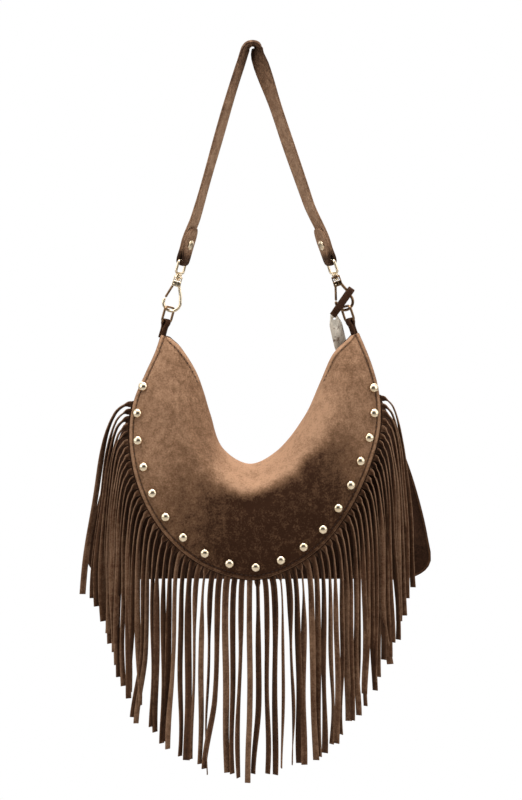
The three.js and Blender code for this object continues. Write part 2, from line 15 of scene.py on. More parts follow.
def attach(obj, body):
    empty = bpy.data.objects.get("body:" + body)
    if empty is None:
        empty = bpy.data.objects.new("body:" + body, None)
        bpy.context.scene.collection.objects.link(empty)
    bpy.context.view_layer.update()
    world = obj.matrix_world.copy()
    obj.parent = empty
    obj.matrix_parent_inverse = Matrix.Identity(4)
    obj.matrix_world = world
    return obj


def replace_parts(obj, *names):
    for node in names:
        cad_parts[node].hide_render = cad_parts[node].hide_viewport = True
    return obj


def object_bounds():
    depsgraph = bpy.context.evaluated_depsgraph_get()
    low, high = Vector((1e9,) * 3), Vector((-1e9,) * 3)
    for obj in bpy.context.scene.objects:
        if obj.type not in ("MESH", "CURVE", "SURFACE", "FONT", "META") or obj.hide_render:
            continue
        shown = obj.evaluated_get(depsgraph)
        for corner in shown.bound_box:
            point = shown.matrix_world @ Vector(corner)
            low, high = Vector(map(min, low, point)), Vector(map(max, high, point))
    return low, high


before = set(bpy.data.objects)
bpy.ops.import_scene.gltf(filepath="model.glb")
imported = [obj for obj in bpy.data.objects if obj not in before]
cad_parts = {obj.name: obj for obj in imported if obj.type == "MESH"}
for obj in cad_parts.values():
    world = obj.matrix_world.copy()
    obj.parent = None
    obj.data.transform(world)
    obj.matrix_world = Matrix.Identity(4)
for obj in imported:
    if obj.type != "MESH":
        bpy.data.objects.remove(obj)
cad_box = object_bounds()

MM = 0.001
SWAY = 4.0  # the bag's middle, right of the hanging point
SIDES = {"left": 1, "right": -1}

CHAIN_X, CHAIN_Z = 77.0, -226.0
CHAIN_TILT = {"left": 15.5, "right": 18.5}
STRAP_WIDTH, STRAP_THICK, STRAP_FOLD_WIDTH = 20.0, 3.0, 12.0
STRAP_TURN = math.radians(66)
STRAP_TAB = 36.0
PEG_RADIUS = 8.0
EYE_WIRE, EYE_HALF_WIDTH, EYE_HEIGHT = 1.3, 8.8, 13.0
HOOK_WIRE, BOW_RADIUS, BOW_Z = 1.5, 8.8, -45.0
RING_WIRE, RING_HALF_WIDTH, RING_HEIGHT = 1.3, 8.7, 16.3
RING_TURN = math.radians(60)
SUEDE, LINING = 2.0, 1.0
MOUTH_RECESS, FLAP_DEPTH, BELLY, BACK_DEPTH, BACK_DROP = 5.0, 40.0, 7.0, 27.0, 6.0
STUD_COUNT, STUD_RADIUS, STUD_INSET = 19, 5.0, 12.5
STUD_RANGE = (0.094, 0.902)
FRINGE_LENGTH, FRINGE_RANGE, STRIP_PITCH = 206.0, (0.12, 0.89), 7.4
CLEAR = 0.4


# ---- camera, light and floor ----
LENS, SENSOR = 85, 36
FRAMED_HEIGHT = 0.84
CAMERA_AIM = Vector((0.0087, 0, -0.3717))
CAMERA_ELEVATION = math.radians(5)
FLOOR_SIDES, FLOOR_RADIUS, FLOOR_DROP = 96, 12.0, 0.06


def make_camera():
    """Upright frame, a little taller than the bag, seen from slightly above."""
    camera = bpy.data.objects.new("camera", bpy.data.cameras.new("camera"))
    camera.data.lens = LENS
    camera.data.sensor_width = SENSOR
    away = Vector((0, -math.cos(CAMERA_ELEVATION), math.sin(CAMERA_ELEVATION)))
    camera.location = CAMERA_AIM + away * (FRAMED_HEIGHT * LENS / SENSOR)
    camera.rotation_euler = away.to_track_quat("Z", "Y").to_euler()
    bpy.context.collection.objects.link(camera)
    bpy.context.scene.camera = camera


def softbox(name, location, size, power, target=(0.01, 0, -0.4)):
    light = bpy.data.lights.new(name, "AREA")
    light.shape = "RECTANGLE"
    light.size, light.size_y = size
    light.energy = power
    lamp = bpy.data.objects.new(name, light)
    lamp.location = location
    lamp.rotation_euler = (Vector(location) - Vector(target)).to_track_quat("Z", "Y").to_euler()
    bpy.context.collection.objects.link(lamp)


def make_world():
    """White to look at, a dim fill for matt pieces, and for metal a bright room with a dark front patch."""
    world = bpy.data.worlds.new("studio")
    bpy.context.scene.world = world
    world.use_nodes = True
    nodes, links = world.node_tree.nodes, world.node_tree.links
    shown = nodes["Background"]
    shown.inputs["Color"].default_value = (1, 1, 1, 1)
    fill = nodes.new("ShaderNodeBackground")
    fill.inputs["Color"].default_value = (1, 0.97, 0.94, 1)
    fill.inputs["Strength"].default_value = 0.16
    mirrored = nodes.new("ShaderNodeBackground")
    mirrored.inputs["Color"].default_value = (1, 0.98, 0.95, 1)
    direction = nodes.new("ShaderNodeTexCoord")
    split = nodes.new("ShaderNodeSeparateXYZ")
    links.new(direction.outputs["Generated"], split.inputs[0])
    front_patch = nodes.new("ShaderNodeMapRange")
    for socket, value in {"From Min": -0.9, "From Max": -0.55, "To Min": 0.02, "To Max": 0.95}.items():
        front_patch.inputs[socket].default_value = value
    links.new(split.outputs["Y"], front_patch.inputs[0])
    links.new(front_patch.outputs[0], mirrored.inputs["Strength"])
    ray = nodes.new("ShaderNodeLightPath")
    below = fill.outputs[0]
    for kind, above in (("Is Glossy Ray", mirrored), ("Is Camera Ray", shown)):
        mix = nodes.new("ShaderNodeMixShader")
        links.new(ray.outputs[kind], mix.inputs[0])
        links.new(below, mix.inputs[1])
        links.new(above.outputs[0], mix.inputs[2])
        below = mix.outputs[0]
    links.new(below, nodes["World Output"].inputs[0])


def floor_paint():
    """Dull white floor that looks as bright as the surroundings."""
    shader = Shader("floor_paint", Roughness=0.9)
    shade = shader.noise(3.0)
    shader.colour(shader.ramp(shade, [(0.3, (208, 206, 203)), (0.7, (212, 210, 207))]))
    glow = shader.nodes.new("ShaderNodeEmission")
    glow.inputs["Strength"].default_value = 1.0
    ray = shader.nodes.new("ShaderNodeLightPath")
    mix = shader.nodes.new("ShaderNodeMixShader")
    shader.links.new(ray.outputs["Is Camera Ray"], mix.inputs[0])
    shader.links.new(shader.surface.outputs[0], mix.inputs[1])
    shader.links.new(glow.outputs[0], mix.inputs[2])
    shader.links.new(mix.outputs[0], shader.nodes["Material Output"].inputs["Surface"])
    return shader.material


def make_studio():
    make_camera()
    make_world()
    softbox("top_light", (0.05, -0.25, 1.15), (1.5, 1.1), 36)
    softbox("left_light", (-1.35, -0.75, 0.15), (0.9, 1.5), 7)
    softbox("right_light", (1.35, -0.75, 0.15), (0.9, 1.5), 6)
    softbox("low_light", (0.0, -1.0, -1.15), (1.6, 0.5), 3)
    softbox("back_light", (0.0, 1.5, 0.3), (1.6, 1.2), 14)
    low, _ = cad_box
    mesh = bpy.data.meshes.new("floor")
    turn = [2 * math.pi * i / FLOOR_SIDES for i in range(FLOOR_SIDES)]
    rim = [(FLOOR_RADIUS * math.cos(a), FLOOR_RADIUS * math.sin(a), low.z - FLOOR_DROP) for a in turn]
    mesh.from_pydata(rim, [], [list(range(FLOOR_SIDES))])
    mesh.materials.append(floor_paint())
    floor = bpy.data.objects.new("floor", mesh)
    bpy.context.collection.objects.link(floor)


# ---- materials ----
class Shader:
    """Short spelling for building a node material."""

    def __init__(self, name, **sockets):
        self.material = bpy.data.materials.new(name)
        self.material.use_nodes = True
        self.nodes = self.material.node_tree.nodes
        self.links = self.material.node_tree.links
        self.surface = self.nodes["Principled BSDF"]
        self.place = self.nodes.new("ShaderNodeTexCoord").outputs["Object"]
        for socket, value in sockets.items():
            self.surface.inputs[socket.replace("_", " ")].default_value = value

    def noise(self, scale, detail=2.0, roughness=0.5, stretch=None):
        node = self.nodes.new("ShaderNodeTexNoise")
        node.inputs["Scale"].default_value = scale
        node.inputs["Detail"].default_value = detail
        node.inputs["Roughness"].default_value = roughness
        place = self.place
        if stretch:
            mapping = self.nodes.new("ShaderNodeMapping")
            mapping.inputs["Scale"].default_value = stretch
            self.links.new(place, mapping.inputs["Vector"])
            place = mapping.outputs[0]
        self.links.new(place, node.inputs["Vector"])
        return node.outputs[0]

    def attribute(self, name):
        node = self.nodes.new("ShaderNodeAttribute")
        node.attribute_name = name
        return node.outputs["Fac"]

    def math(self, operation, a, b, clamp=False):
        node = self.nodes.new("ShaderNodeMath")
        node.operation = operation
        node.use_clamp = clamp
        for socket, value in zip(node.inputs, (a, b)):
            if isinstance(value, (int, float)):
                socket.default_value = value
            else:
                self.links.new(value, socket)
        return node.outputs[0]

    def swing(self, value, amount):
        """Noise made to swing about zero by amount."""
        return self.math("MULTIPLY", self.math("SUBTRACT", value, 0.5), 2 * amount)

    def ramp(self, factor, stops):
        node = self.nodes.new("ShaderNodeValToRGB")
        elements = node.color_ramp.elements
        elements[0].position, elements[1].position = stops[0][0], stops[-1][0]
        for position, _ in stops[1:-1]:
            elements.new(position)
        for element, (_, colour) in zip(elements, stops):
            element.color = (*srgb(colour), 1)
        self.links.new(factor, node.inputs["Fac"])
        return node.outputs["Color"]

    def bump(self, heights):
        """heights lists [value, strength, distance in metres]; each bump adds to the one before it."""
        normal = None
        for value, strength, distance in heights:
            node = self.nodes.new("ShaderNodeBump")
            node.inputs["Strength"].default_value = strength
            node.inputs["Distance"].default_value = distance
            self.links.new(value, node.inputs["Height"])
            if normal:
                self.links.new(normal, node.inputs["Normal"])
            normal = node.outputs["Normal"]
        self.links.new(normal, self.surface.inputs["Normal"])

    def colour(self, value):
        self.links.new(value, self.surface.inputs["Base Color"])


def srgb(colour):
    """Linear colour from 0 to 255 display values."""
    return [((c / 255 + 0.055) / 1.055) ** 2.4 if c > 10 else c / 255 / 12.92 for c in colour]


def suede(name, dark, middle, light, blotch=0.16, grain=0.46):
    """Napped suede. Its colour runs with a point attribute from 0, light, to 1, dark; the attribute holds
    painted shade and painted light from how light falls on each part, plus random tone.
    """
    shader = Shader(name, Roughness=0.92, Specular_IOR_Level=0.12, Sheen_Weight=0.14, Sheen_Roughness=0.45,
                    Sheen_Tint=(*srgb(light), 1))
    coarse = shader.noise(38.0, 3.0, 0.6)
    medium = shader.noise(150.0, 3.0, 0.6)
    fine = shader.noise(560.0, 3.0, 0.7)
    shade_and_tone = shader.math("ADD", shader.attribute("shade_and_tone"), shader.swing(coarse, blotch))
    shade_and_tone = shader.math("ADD", shade_and_tone, shader.swing(medium, 0.75 * grain))
    shade_and_tone = shader.math("ADD", shade_and_tone, shader.swing(fine, grain))
    # light, middle and dark are lit and shaded copies of one suede colour: painted light and painted shade.
    shader.colour(shader.ramp(shade_and_tone, [(0.0, light), (0.5, middle), (1.0, dark)]))
    shader.bump([(medium, 0.3, 0.0008), (fine, 0.6, 0.0005)])
    return shader.material


def metal(name, dark, light, roughness):
    shader = Shader(name, Metallic=1.0)
    tarnish = shader.noise(140.0, 3.0, 0.6)
    scratches = shader.noise(900.0, 2.0, 0.5, stretch=(1, 1, 0.15))
    shader.colour(shader.ramp(tarnish, [(0.3, dark), (0.65, light)]))
    spread = shader.math("ADD", shader.swing(scratches, 0.06), roughness)
    shader.links.new(spread, shader.surface.inputs["Roughness"])
    shader.bump([(scratches, 0.05, 0.0001)])
    return shader.material


def cotton(name, dark, light):
    """Plain weave from two crossed sets of threads."""
    shader = Shader(name, Roughness=0.9, Specular_IOR_Level=0.2, Sheen_Weight=0.1)
    threads = []
    for direction in ("X", "Z"):
        wave = shader.nodes.new("ShaderNodeTexWave")
        wave.bands_direction = direction
        wave.inputs["Scale"].default_value = 380.0
        wave.inputs["Distortion"].default_value = 0.6
        shader.links.new(shader.place, wave.inputs["Vector"])
        threads.append(wave.outputs["Fac"])
    weave = shader.math("MULTIPLY", *threads)
    from_weave = shader.math("MULTIPLY", weave, 0.5)
    from_noise = shader.math("MULTIPLY", shader.noise(60.0), 0.5)
    shade = shader.math("ADD", from_weave, from_noise)
    shader.colour(shader.ramp(shade, [(0.15, dark), (0.7, light)]))
    shader.bump([(weave, 0.4, 0.0002)])
    return shader.material


def thread(name, dark, light):
    """Twisted sewing thread."""
    shader = Shader(name, Roughness=0.75, Specular_IOR_Level=0.3, Sheen_Weight=0.1)
    twist = shader.nodes.new("ShaderNodeTexWave")
    twist.bands_direction = "DIAGONAL"
    twist.inputs["Scale"].default_value = 500.0
    shader.links.new(shader.place, twist.inputs["Vector"])
    shader.colour(shader.ramp(twist.outputs["Fac"], [(0.2, dark), (0.8, light)]))
    shader.bump([(twist.outputs["Fac"], 0.4, 0.0001)])
    return shader.material


def smooth_leather(name, dark, light):
    shader = Shader(name, Roughness=0.8, Specular_IOR_Level=0.2)
    cells = shader.nodes.new("ShaderNodeTexVoronoi")
    cells.inputs["Scale"].default_value = 900.0
    shader.links.new(shader.place, cells.inputs["Vector"])
    spots = shader.math("ADD", shader.attribute("shade_and_tone"), shader.noise(150.0, 3.0, 0.55))
    shader.colour(shader.ramp(spots, [(0.58, light), (0.74, dark)]))
    shader.bump([(cells.outputs["Distance"], 0.3, 0.0002)])
    return shader.material


MATERIALS = {
    # Flap, strap and fringe suede run from a shaded to a lit copy of one brown: painted shade and painted
    # light, set by each point's value.
    "flap": suede("flap_suede", (58, 35, 21), (128, 95, 70), (188, 147, 116)),
    "strap": suede("strap_suede", (62, 42, 30), (138, 106, 82), (192, 158, 130)),
    # The body suede is set darker, partly its own deeper brown and partly painted shade for the panel lying
    # in shadow behind the fringe.
    "body": suede("body_suede", (40, 24, 15), (72, 47, 32), (112, 80, 58)),
    "fringe": suede("fringe_suede", (38, 23, 15), (88, 60, 42), (158, 124, 98), blotch=0.2, grain=0.3),
    "gold": metal("gold_plate", (220, 197, 162), (244, 228, 200), 0.24),
    "bronze": metal("bronze_plate", (96, 74, 54), (150, 120, 90), 0.24),
    "lining": cotton("lining_cotton", (84, 66, 52), (128, 106, 86)),
    "dark_thread": thread("dark_thread", (48, 33, 24), (76, 54, 40)),
    # The tag's cream is set near white, partly to make up for the little light reaching its face: partly
    # painted light.
    "tag": smooth_leather("tag_leather", (126, 96, 70), (253, 243, 226)),
}


# ---- mesh helpers ----
def add_mesh(name, points, faces, finish, values=None, body="root"):
    """Closed mesh from points in bag millimetres. values are its point attributes."""
    mesh = bpy.data.meshes.new(name)
    placed = (np.asarray(points, float) + (SWAY, 0, 0)) * MM
    mesh.from_pydata(placed.tolist(), [], faces)
    for key, numbers in (values or {}).items():
        layer = mesh.attributes.new(key, "FLOAT", "POINT")
        layer.data.foreach_set("value", np.asarray(numbers, np.float32))
    turn_outwards(mesh)
    mesh.polygons.foreach_set("use_smooth", [True] * len(mesh.polygons))
    mesh.materials.append(MATERIALS[finish])
    obj = bpy.data.objects.new(name, mesh)
    bpy.context.collection.objects.link(obj)
    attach(obj, body)
    return obj


def turn_outwards(mesh):
    work = bmesh.new()
    work.from_mesh(mesh)
    bmesh.ops.recalc_face_normals(work, faces=work.faces)
    work.to_mesh(mesh)
    work.free()


def loft_faces(count, size, looped=False, start=0):
    """Quads between count rings of size points; the ends are capped by quads across the ring."""
    faces = []
    for i in range(count if looped else count - 1):
        here, there = start + i * size, start + ((i + 1) % count) * size
        for j in range(size):
            k = (j + 1) % size
            faces.append((here + j, here + k, there + k, there + j))
    if not looped:
        for ring in (start, start + (count - 1) * size):
            faces += [(ring + j, ring + j + 1, ring + size - 2 - j, ring + size - 1 - j)
                      for j in range(size // 2 - 1)]
    return faces


class Heap:
    """Several lofts gathered into one mesh."""

    def __init__(self):
        self.points, self.faces, self.shade_and_tone = [], [], []

    # Each point also carries a colour value: mostly painted shade and painted light, with some random tone.
    def add(self, rings, shade_and_tone=None, looped=False):
        rings = np.asarray(rings, float)
        count, size = rings.shape[:2]
        start = len(self.points)
        self.points.extend(rings.reshape(-1, 3).tolist())
        self.faces += loft_faces(count, size, looped, start)
        self.shade_and_tone.extend(np.zeros(count * size) if shade_and_tone is None else np.asarray(shade_and_tone, float).ravel())

    def make(self, name, finish, body="root"):
        return add_mesh(name, self.points, self.faces, finish, {"shade_and_tone": self.shade_and_tone}, body)


def unit(vectors):
    vectors = np.asarray(vectors, float)
    return vectors / np.maximum(np.linalg.norm(vectors, axis=-1, keepdims=True), 1e-9)


def smooth_curve(points, per_span=20):
    """Centripetal Catmull-Rom curve through points, as closely spaced samples."""
    p = np.asarray(points, float)
    p = np.vstack([2 * p[0] - p[1], p, 2 * p[-1] - p[-2]])
    s = (np.arange(per_span) / per_span)[:, None]
    samples = []
    for a, b, c, d in zip(p, p[1:], p[2:], p[3:]):
        step_a, step_b, step_c = (np.linalg.norm(v[:3]) ** 0.5 for v in (b - a, c - b, d - c))
        leave = ((b - a) / step_a - (c - a) / (step_a + step_b) + (c - b) / step_b) * step_b
        arrive = ((c - b) / step_b - (d - b) / (step_b + step_c) + (d - c) / step_c) * step_b
        samples.append((2 * s**3 - 3 * s**2 + 1) * b + (s**3 - 2 * s**2 + s) * leave
                       + (3 * s**2 - 2 * s**3) * c + (s**3 - s**2) * arrive)
    return np.vstack([*samples, p[-2]])


def lengths_along(points):
    return np.concatenate([[0], np.cumsum(np.linalg.norm(np.diff(points[:, :3], axis=0), axis=1))])


def at_share(points, share):
    """Point at a share of the curve's length."""
    along = lengths_along(points)
    return np.array([np.interp(share * along[-1], along, column) for column in points.T])


def respaced(points, count):
    along = lengths_along(points)
    places = np.linspace(0, along[-1], count)
    return np.stack([np.interp(places, along, column) for column in points.T], axis=1)


def tangents(points, looped=False):
    if looped:
        return unit(np.roll(points, -1, axis=0) - np.roll(points, 1, axis=0))
    return unit(np.gradient(points, axis=0))


def sweep(points, sideways, sections, looped=False):
    """Rings of a section carried along points. Each section row is [sideways, across]."""
    along = tangents(points, looped)
    across = unit(np.cross(along, sideways))
    side = np.cross(across, along)
    sections = np.broadcast_to(np.asarray(sections, float), (len(points), *np.shape(sections)[-2:]))
    return (points[:, None] + side[:, None] * sections[..., :1] + across[:, None] * sections[..., 1:])


def circle(radius, sides):
    angle = 2 * math.pi * (np.arange(sides) + 0.5) / sides
    return np.stack([radius * np.cos(angle), radius * np.sin(angle)], axis=1)


def tube(points, normal, radius, sides=20, looped=False):
    """Round wire along points that lie in the plane square to normal. radius may change along it."""
    points = np.asarray(points, float)
    radii = np.broadcast_to(np.asarray(radius, float), len(points))
    sections = circle(1, sides)[None] * radii[:, None, None]
    return sweep(points, np.broadcast_to(np.asarray(normal, float), points.shape), sections, looped)


def strip_section(width, thick, rounding=0.35):
    """Flat band's section: its two faces with a middle point each, and its cut edges a little rounded."""
    w, t = width / 2, thick / 2
    edge = rounding * thick
    return [(-w + edge, -t), (0, -t), (w - edge, -t), (w, -t / 2), (w, t / 2),
            (w - edge, t), (0, t), (-w + edge, t), (-w, t / 2), (-w, -t / 2)]


# How near each point of a strip's section is to a cut edge.
STRIP_EDGE = np.array([0.55, 0, 0.55, 1, 1, 0.55, 0, 0.55, 1, 1])


def turned_rings(profile, place, sides=32):
    """Rings of a turned piece from [radius, height] pairs, standing on the matrix place."""
    angle = 2 * math.pi * np.arange(sides) / sides
    rings = [[place @ Vector((max(r, 0.01) * math.cos(a), max(r, 0.01) * math.sin(a), z)) for a in angle]
             for r, z in profile]
    return np.array([[tuple(p) for p in ring] for ring in rings])


def bump_between(x, low, high):
    """Smooth step from 0 at low to 1 at high."""
    s = np.clip((np.asarray(x, float) - low) / (high - low), 0, 1)
    return s * s * (3 - 2 * s)


def wobble(points, scale, seed=0.0):
    """Smooth noise between -1 and 1 at points, with features about scale millimetres across."""
    shift = Vector((seed * 7.3, seed * 3.1, seed * 5.7))
    flat = np.asarray(points, float).reshape(-1, 3)
    values = [noise.noise(Vector(p) / scale + shift) for p in flat.tolist()]
    return np.array(values).reshape(np.shape(points)[:-1])


# ---- bag outlines and surfaces, as in the CAD ----
TOP_EDGE = smooth_curve([
    (-90, -306), (-78, -315), (-60, -342), (-47, -382), (-34, -419), (-7, -435),
    (20, -422), (48, -387), (65, -349), (80, -320), (98, -304),
])
FLAP_ELLIPSE_X, FLAP_ELLIPSE_Z, FLAP_ELLIPSE_CENTRE = 131.0, 151.0, -402.0
lower_left = [
    (FLAP_ELLIPSE_X * math.cos(a), FLAP_ELLIPSE_CENTRE + FLAP_ELLIPSE_Z * math.sin(a))
    for a in np.linspace(math.pi, 1.5 * math.pi, 7)
]
FLAP_EDGE = smooth_curve([
    (-99, -303), (-105, -320), (-115, -342), (-126, -368), *lower_left,
    (34, -542), (68, -518), (97, -479), (117, -436), (127, -400),
    (128, -375), (125, -353), (119, -332), (112, -314), (106, -301),
])
POUCH_OUTLINE = respaced(smooth_curve([
    (-93, -290), (-101, -313), (-111, -338), (-123, -366), (-142, -405), (-161, -460), (-175, -515),
    (-178, -545),
    (-160, -559), (-90, -561), (0, -562), (90, -561), (166, -559), (183, -545), (180, -515), (166, -460),
    (146, -405), (129, -366), (118, -338), (110, -315), (101, -289),
]), 401)
SEAM = 0.4  # half the gap between the front and back panels at the seam


class Ray:
    """Line across the bag's front at share t of the mouth: from the top edge, past the flap's edge."""

    def __init__(self, t):
        self.t = t
        self.swell = math.sin(math.pi * min(max(t, 0.001), 0.999)) ** 0.6
        self.start = at_share(TOP_EDGE, t)
        to_edge = at_share(FLAP_EDGE, t) - self.start
        self.flap_reach = float(np.linalg.norm(to_edge))
        self.direction = to_edge / self.flap_reach
        self.pouch_reach = self.reach_to_pouch()
        middle = 8 * math.sin(math.pi * t)
        self.front_mouth = middle - 6 - 5 * self.swell
        self.back_mouth = middle + 3.2 + 7 * self.swell
        self.flap_forward = -7 - FLAP_DEPTH * self.swell
        ahead, behind = at_share(FLAP_EDGE, min(t + 0.004, 1)), at_share(FLAP_EDGE, max(t - 0.004, 0))
        self.edge_tangent = unit(ahead - behind)
        direction, tangent = self.direction, self.edge_tangent
        self.squareness = abs(direction[0] * tangent[1] - direction[1] * tangent[0])

    def reach_to_pouch(self):
        offsets = POUCH_OUTLINE - self.start
        sides = self.direction[0] * offsets[:, 1] - self.direction[1] * offsets[:, 0]
        for i in np.nonzero(sides[:-1] * sides[1:] <= 0)[0]:
            share = sides[i] / (sides[i] - sides[i + 1])
            reach = float((offsets[i] * (1 - share) + offsets[i + 1] * share) @ self.direction)
            if reach > 0:
                return reach
        raise ValueError("no reach to the pouch outline")

    def on(self, distance, y):
        """Points at distances along the ray, with depths y."""
        flat = self.start + np.multiply.outer(distance, self.direction)
        return np.stack([flat[:, 0], y, flat[:, 1]], axis=1)


def rolled_edge(v):
    return MOUTH_RECESS * (1 - np.minimum(v / 0.07, 1)) ** 2


def flap_surface(ray, v):
    forward = 1 - (1 - np.minimum(v / 0.55, 1)) ** 2.2
    roundness = BELLY * ray.swell * np.sin(math.pi * v)
    y = ray.front_mouth + (ray.flap_forward - ray.front_mouth) * forward - roundness
    return ray.on(rolled_edge(v) + ray.flap_reach * v**1.3, y)


def pouch_front(ray, v):
    beyond_flap = min(max((ray.pouch_reach - ray.flap_reach - 5) / 40, 0), 1)
    bend_v = 0.7 - 0.35 * beyond_flap
    upper = flap_surface(ray, v)
    bend = flap_surface(ray, np.array([bend_v]))[0]
    bend_reach = float(np.hypot(bend[0] - ray.start[0], bend[2] - ray.start[1]))
    angle = np.clip((v - bend_v) / (1 - bend_v), 0, 1) * math.pi / 2
    distance = bend_reach + (ray.pouch_reach - bend_reach) * np.sin(angle)
    fullness = np.cos(angle) ** (1 + 1.6 * beyond_flap)
    lower = ray.on(distance, -SEAM + (bend[1] + SEAM) * fullness)
    return np.where((v <= bend_v)[:, None], upper, lower)


def pouch_back(ray, v):
    shoulder, bend_v = 0.3, 0.7
    depth = ray.back_mouth + BACK_DEPTH * ray.swell
    drop = BACK_DROP * ray.swell
    shoulder_reach = drop + 0.28 * ray.flap_reach
    bend_reach = shoulder_reach + (ray.pouch_reach - shoulder_reach) * 0.6
    first = np.clip(v / shoulder, 0, 1) * math.pi / 2
    upper = ray.on(rolled_edge(v) + drop + (shoulder_reach - drop) * (1 - np.cos(first)),
                   ray.back_mouth + (depth - ray.back_mouth) * np.sin(first))
    share = np.clip((v - shoulder) / (bend_v - shoulder), 0, 1)
    straight = ray.on(shoulder_reach + (bend_reach - shoulder_reach) * share, np.full(len(v), depth))
    last = np.clip((v - bend_v) / (1 - bend_v), 0, 1) * math.pi / 2
    distance = bend_reach + (ray.pouch_reach - bend_reach) * np.sin(last)
    lower = ray.on(distance, SEAM + (depth - SEAM) * np.cos(last))
    v = v[:, None]
    return np.where(v <= shoulder, upper, np.where(v <= bend_v, straight, lower))


def edge_distance(ray, v):
    """Distance from the flap's edge, square to it."""
    return ray.flap_reach * (1 - v**1.3) * ray.squareness


def v_at(ray, edge_gap):
    """Share v of the point that lies edge_gap inside the flap's edge."""
    return np.maximum(1 - np.asarray(edge_gap, float) / (ray.flap_reach * ray.squareness), 0) ** (1 / 1.3)


# ---- sheets ----
def surface_normals(grid, towards_back):
    """Unit normals of a grid of points, pointing into the bag."""
    normals = unit(np.cross(np.gradient(grid, axis=0), np.gradient(grid, axis=1)))
    wrong = (normals[..., 1] > 0) != towards_back
    return np.where(wrong[..., None], -normals, normals)


def grid_area(grid):
    """Area of a surface given as a grid of points, in square millimetres."""
    down = np.diff(grid, axis=0)[:, :-1]
    across = np.diff(grid, axis=1)[:-1]
    return float(np.linalg.norm(np.cross(down, across), axis=2).sum())


def flat_cut(grid):
    """Estimated width, length and area of a curved surface's flat cut, in millimetres. The box of the front
    outline is enlarged so that it grows in area as much as the surface exceeds its own front view."""
    area = grid_area(grid)
    grow = math.sqrt(area / grid_area(grid * (1, 0, 1)))
    return float(np.ptp(grid[..., 0])) * grow, float(np.ptp(grid[..., 2])) * grow, area


def rolled_normals(grid, towards_back, v):
    """Normals of a sheet whose rolled top keeps one direction from the mouth to just below the roll."""
    normals = surface_normals(grid, towards_back)
    for i, row in enumerate(np.argmax(v > 0.12, axis=1)):
        normals[i, :row] = normals[i, row]
    return normals


def sheet_rings(grid, normals, outer, inner):
    """Closed rings of a sheet whose faces lie outer and inner below grid, with round edges on both sides."""
    front = grid + normals * outer[..., None]
    back = grid + normals * inner[..., None]
    half = (inner - outer)[..., None] / 2
    middle = (front + back) / 2

    def edge(column, nearby):
        outwards = unit(middle[:, column] - middle[:, nearby])
        return [middle[:, column] + outwards * half[:, column] * math.sin(a)
                + normals[:, column] * half[:, column] * -math.cos(a) for a in np.radians([35, 70, 110, 145])]

    rings = [*np.moveaxis(front, 1, 0), *edge(-1, -2), *np.moveaxis(back, 1, 0)[::-1], *edge(0, 1)[::-1]]
    return np.moveaxis(np.array(rings), 0, 1)


def ring_values(front, edge_value, back_value):
    """Values for sheet_rings' points: front by row, then the edges and the back."""
    count = len(front)
    edge = np.full((count, 4), edge_value)
    return np.hstack([front, edge, np.full(front.shape, back_value), edge])


def flap_stations(ray, main=64, hem=16):
    """Shares v from the mouth to the edge, close together over the hem."""
    hem_v = v_at(ray, np.linspace(min(7.5, 0.5 * ray.flap_reach * ray.squareness), 0, hem))
    return np.concatenate([np.linspace(0, hem_v[0], main, endpoint=False), hem_v])


# Soft folds beside the mouth: t in the middle, half length in t, v there, its slope, half width in v, height.
FOLDS = [
    (0.43, 0.17, 0.36, -0.10, 0.07, 2.6),
    (0.36, 0.13, 0.24, 0.35, 0.055, 1.9),
    (0.46, 0.12, 0.13, 0.10, 0.045, 1.6),
    (0.60, 0.12, 0.33, 0.15, 0.08, 1.6),
    (0.27, 0.10, 0.30, 0.55, 0.07, -1.7),
    (0.74, 0.10, 0.36, -0.60, 0.09, -1.8),
    (0.68, 0.10, 0.20, -0.30, 0.06, 1.1),
]


def flap_relief(rays, v, grid):
    """Height of folds, slack and hem above the plain surface."""
    t = np.array([ray.t for ray in rays])[:, None]
    height = 1.5 * wobble(grid, 55.0) + 0.7 * wobble(grid, 20.0, 2.0)
    for t_mid, t_half, v_mid, slope, v_half, size in FOLDS:
        line = v_mid + slope * (t - t_mid)
        height += 1.15 * size * np.exp(-(((t - t_mid) / t_half) ** 2) - ((v - line) / v_half) ** 2)
    gap = np.array([edge_distance(ray, row) for ray, row in zip(rays, v)])
    height *= bump_between(gap, 5.0, 18.0) * bump_between(v, 0.0, 0.08)
    lip = 0.5 * (1 - bump_between(gap, 2.3, 3.1)) * bump_between(gap, -0.5, 1.2)
    groove = -0.7 * np.exp(-(((gap - 3.5) / 0.6) ** 2))
    pucker = 0.18 * np.sin(t * 760) * np.exp(-(((gap - 2.4) / 1.8) ** 2))
    return height + lip + groove + pucker, gap


def flap_painted_shade(rays, v, grid):
    """Painted shade and light: light over the rolled top that faces up to the lamp, dark over the belly that
    faces down, softer towards both corners.
    """
    t = np.array([ray.t for ray in rays])[:, None]
    roll = 0.405 + 0.05 * np.sin(9 * t) + 0.04 * wobble(grid, 30.0, 4.0)
    softness = 0.08 + 0.16 * (1 - bump_between(t, 0.28, 0.46)) + 0.06 * bump_between(t, 0.62, 0.8)
    belly = bump_between(v, roll - softness, roll + softness)
    corner = bump_between(t, 0.2, 0.48) * (1 - 0.8 * bump_between(t, 0.64, 0.86))
    upper = 0.28 * (1 - bump_between(t, 0.30, 0.44)) + 0.24 * bump_between(t, 0.78, 0.9)
    shade = 0.02 + upper + belly * corner * (0.98 - upper)
    shade += 0.09 * bump_between(v, 0.1, 0.2) * (1 - belly) + 0.07 * wobble(grid, 14.0, 6.0)
    # Near the corners: painted shade in the groove by the corner stitches and a painted highlight on the
    # folded band along the mouth.
    from_mouth = np.array([ray.flap_reach for ray in rays])[:, None] * v**1.3
    near_corner = 1 - 0.9 * bump_between(t, 0.10, 0.18) + 0.9 * bump_between(t, 0.82, 0.9)
    hem = np.exp(-(((from_mouth - 5.2) / 0.9) ** 2)) * 0.4 - 0.22 * (1 - bump_between(from_mouth, 3.0, 4.6))
    return shade + near_corner * hem


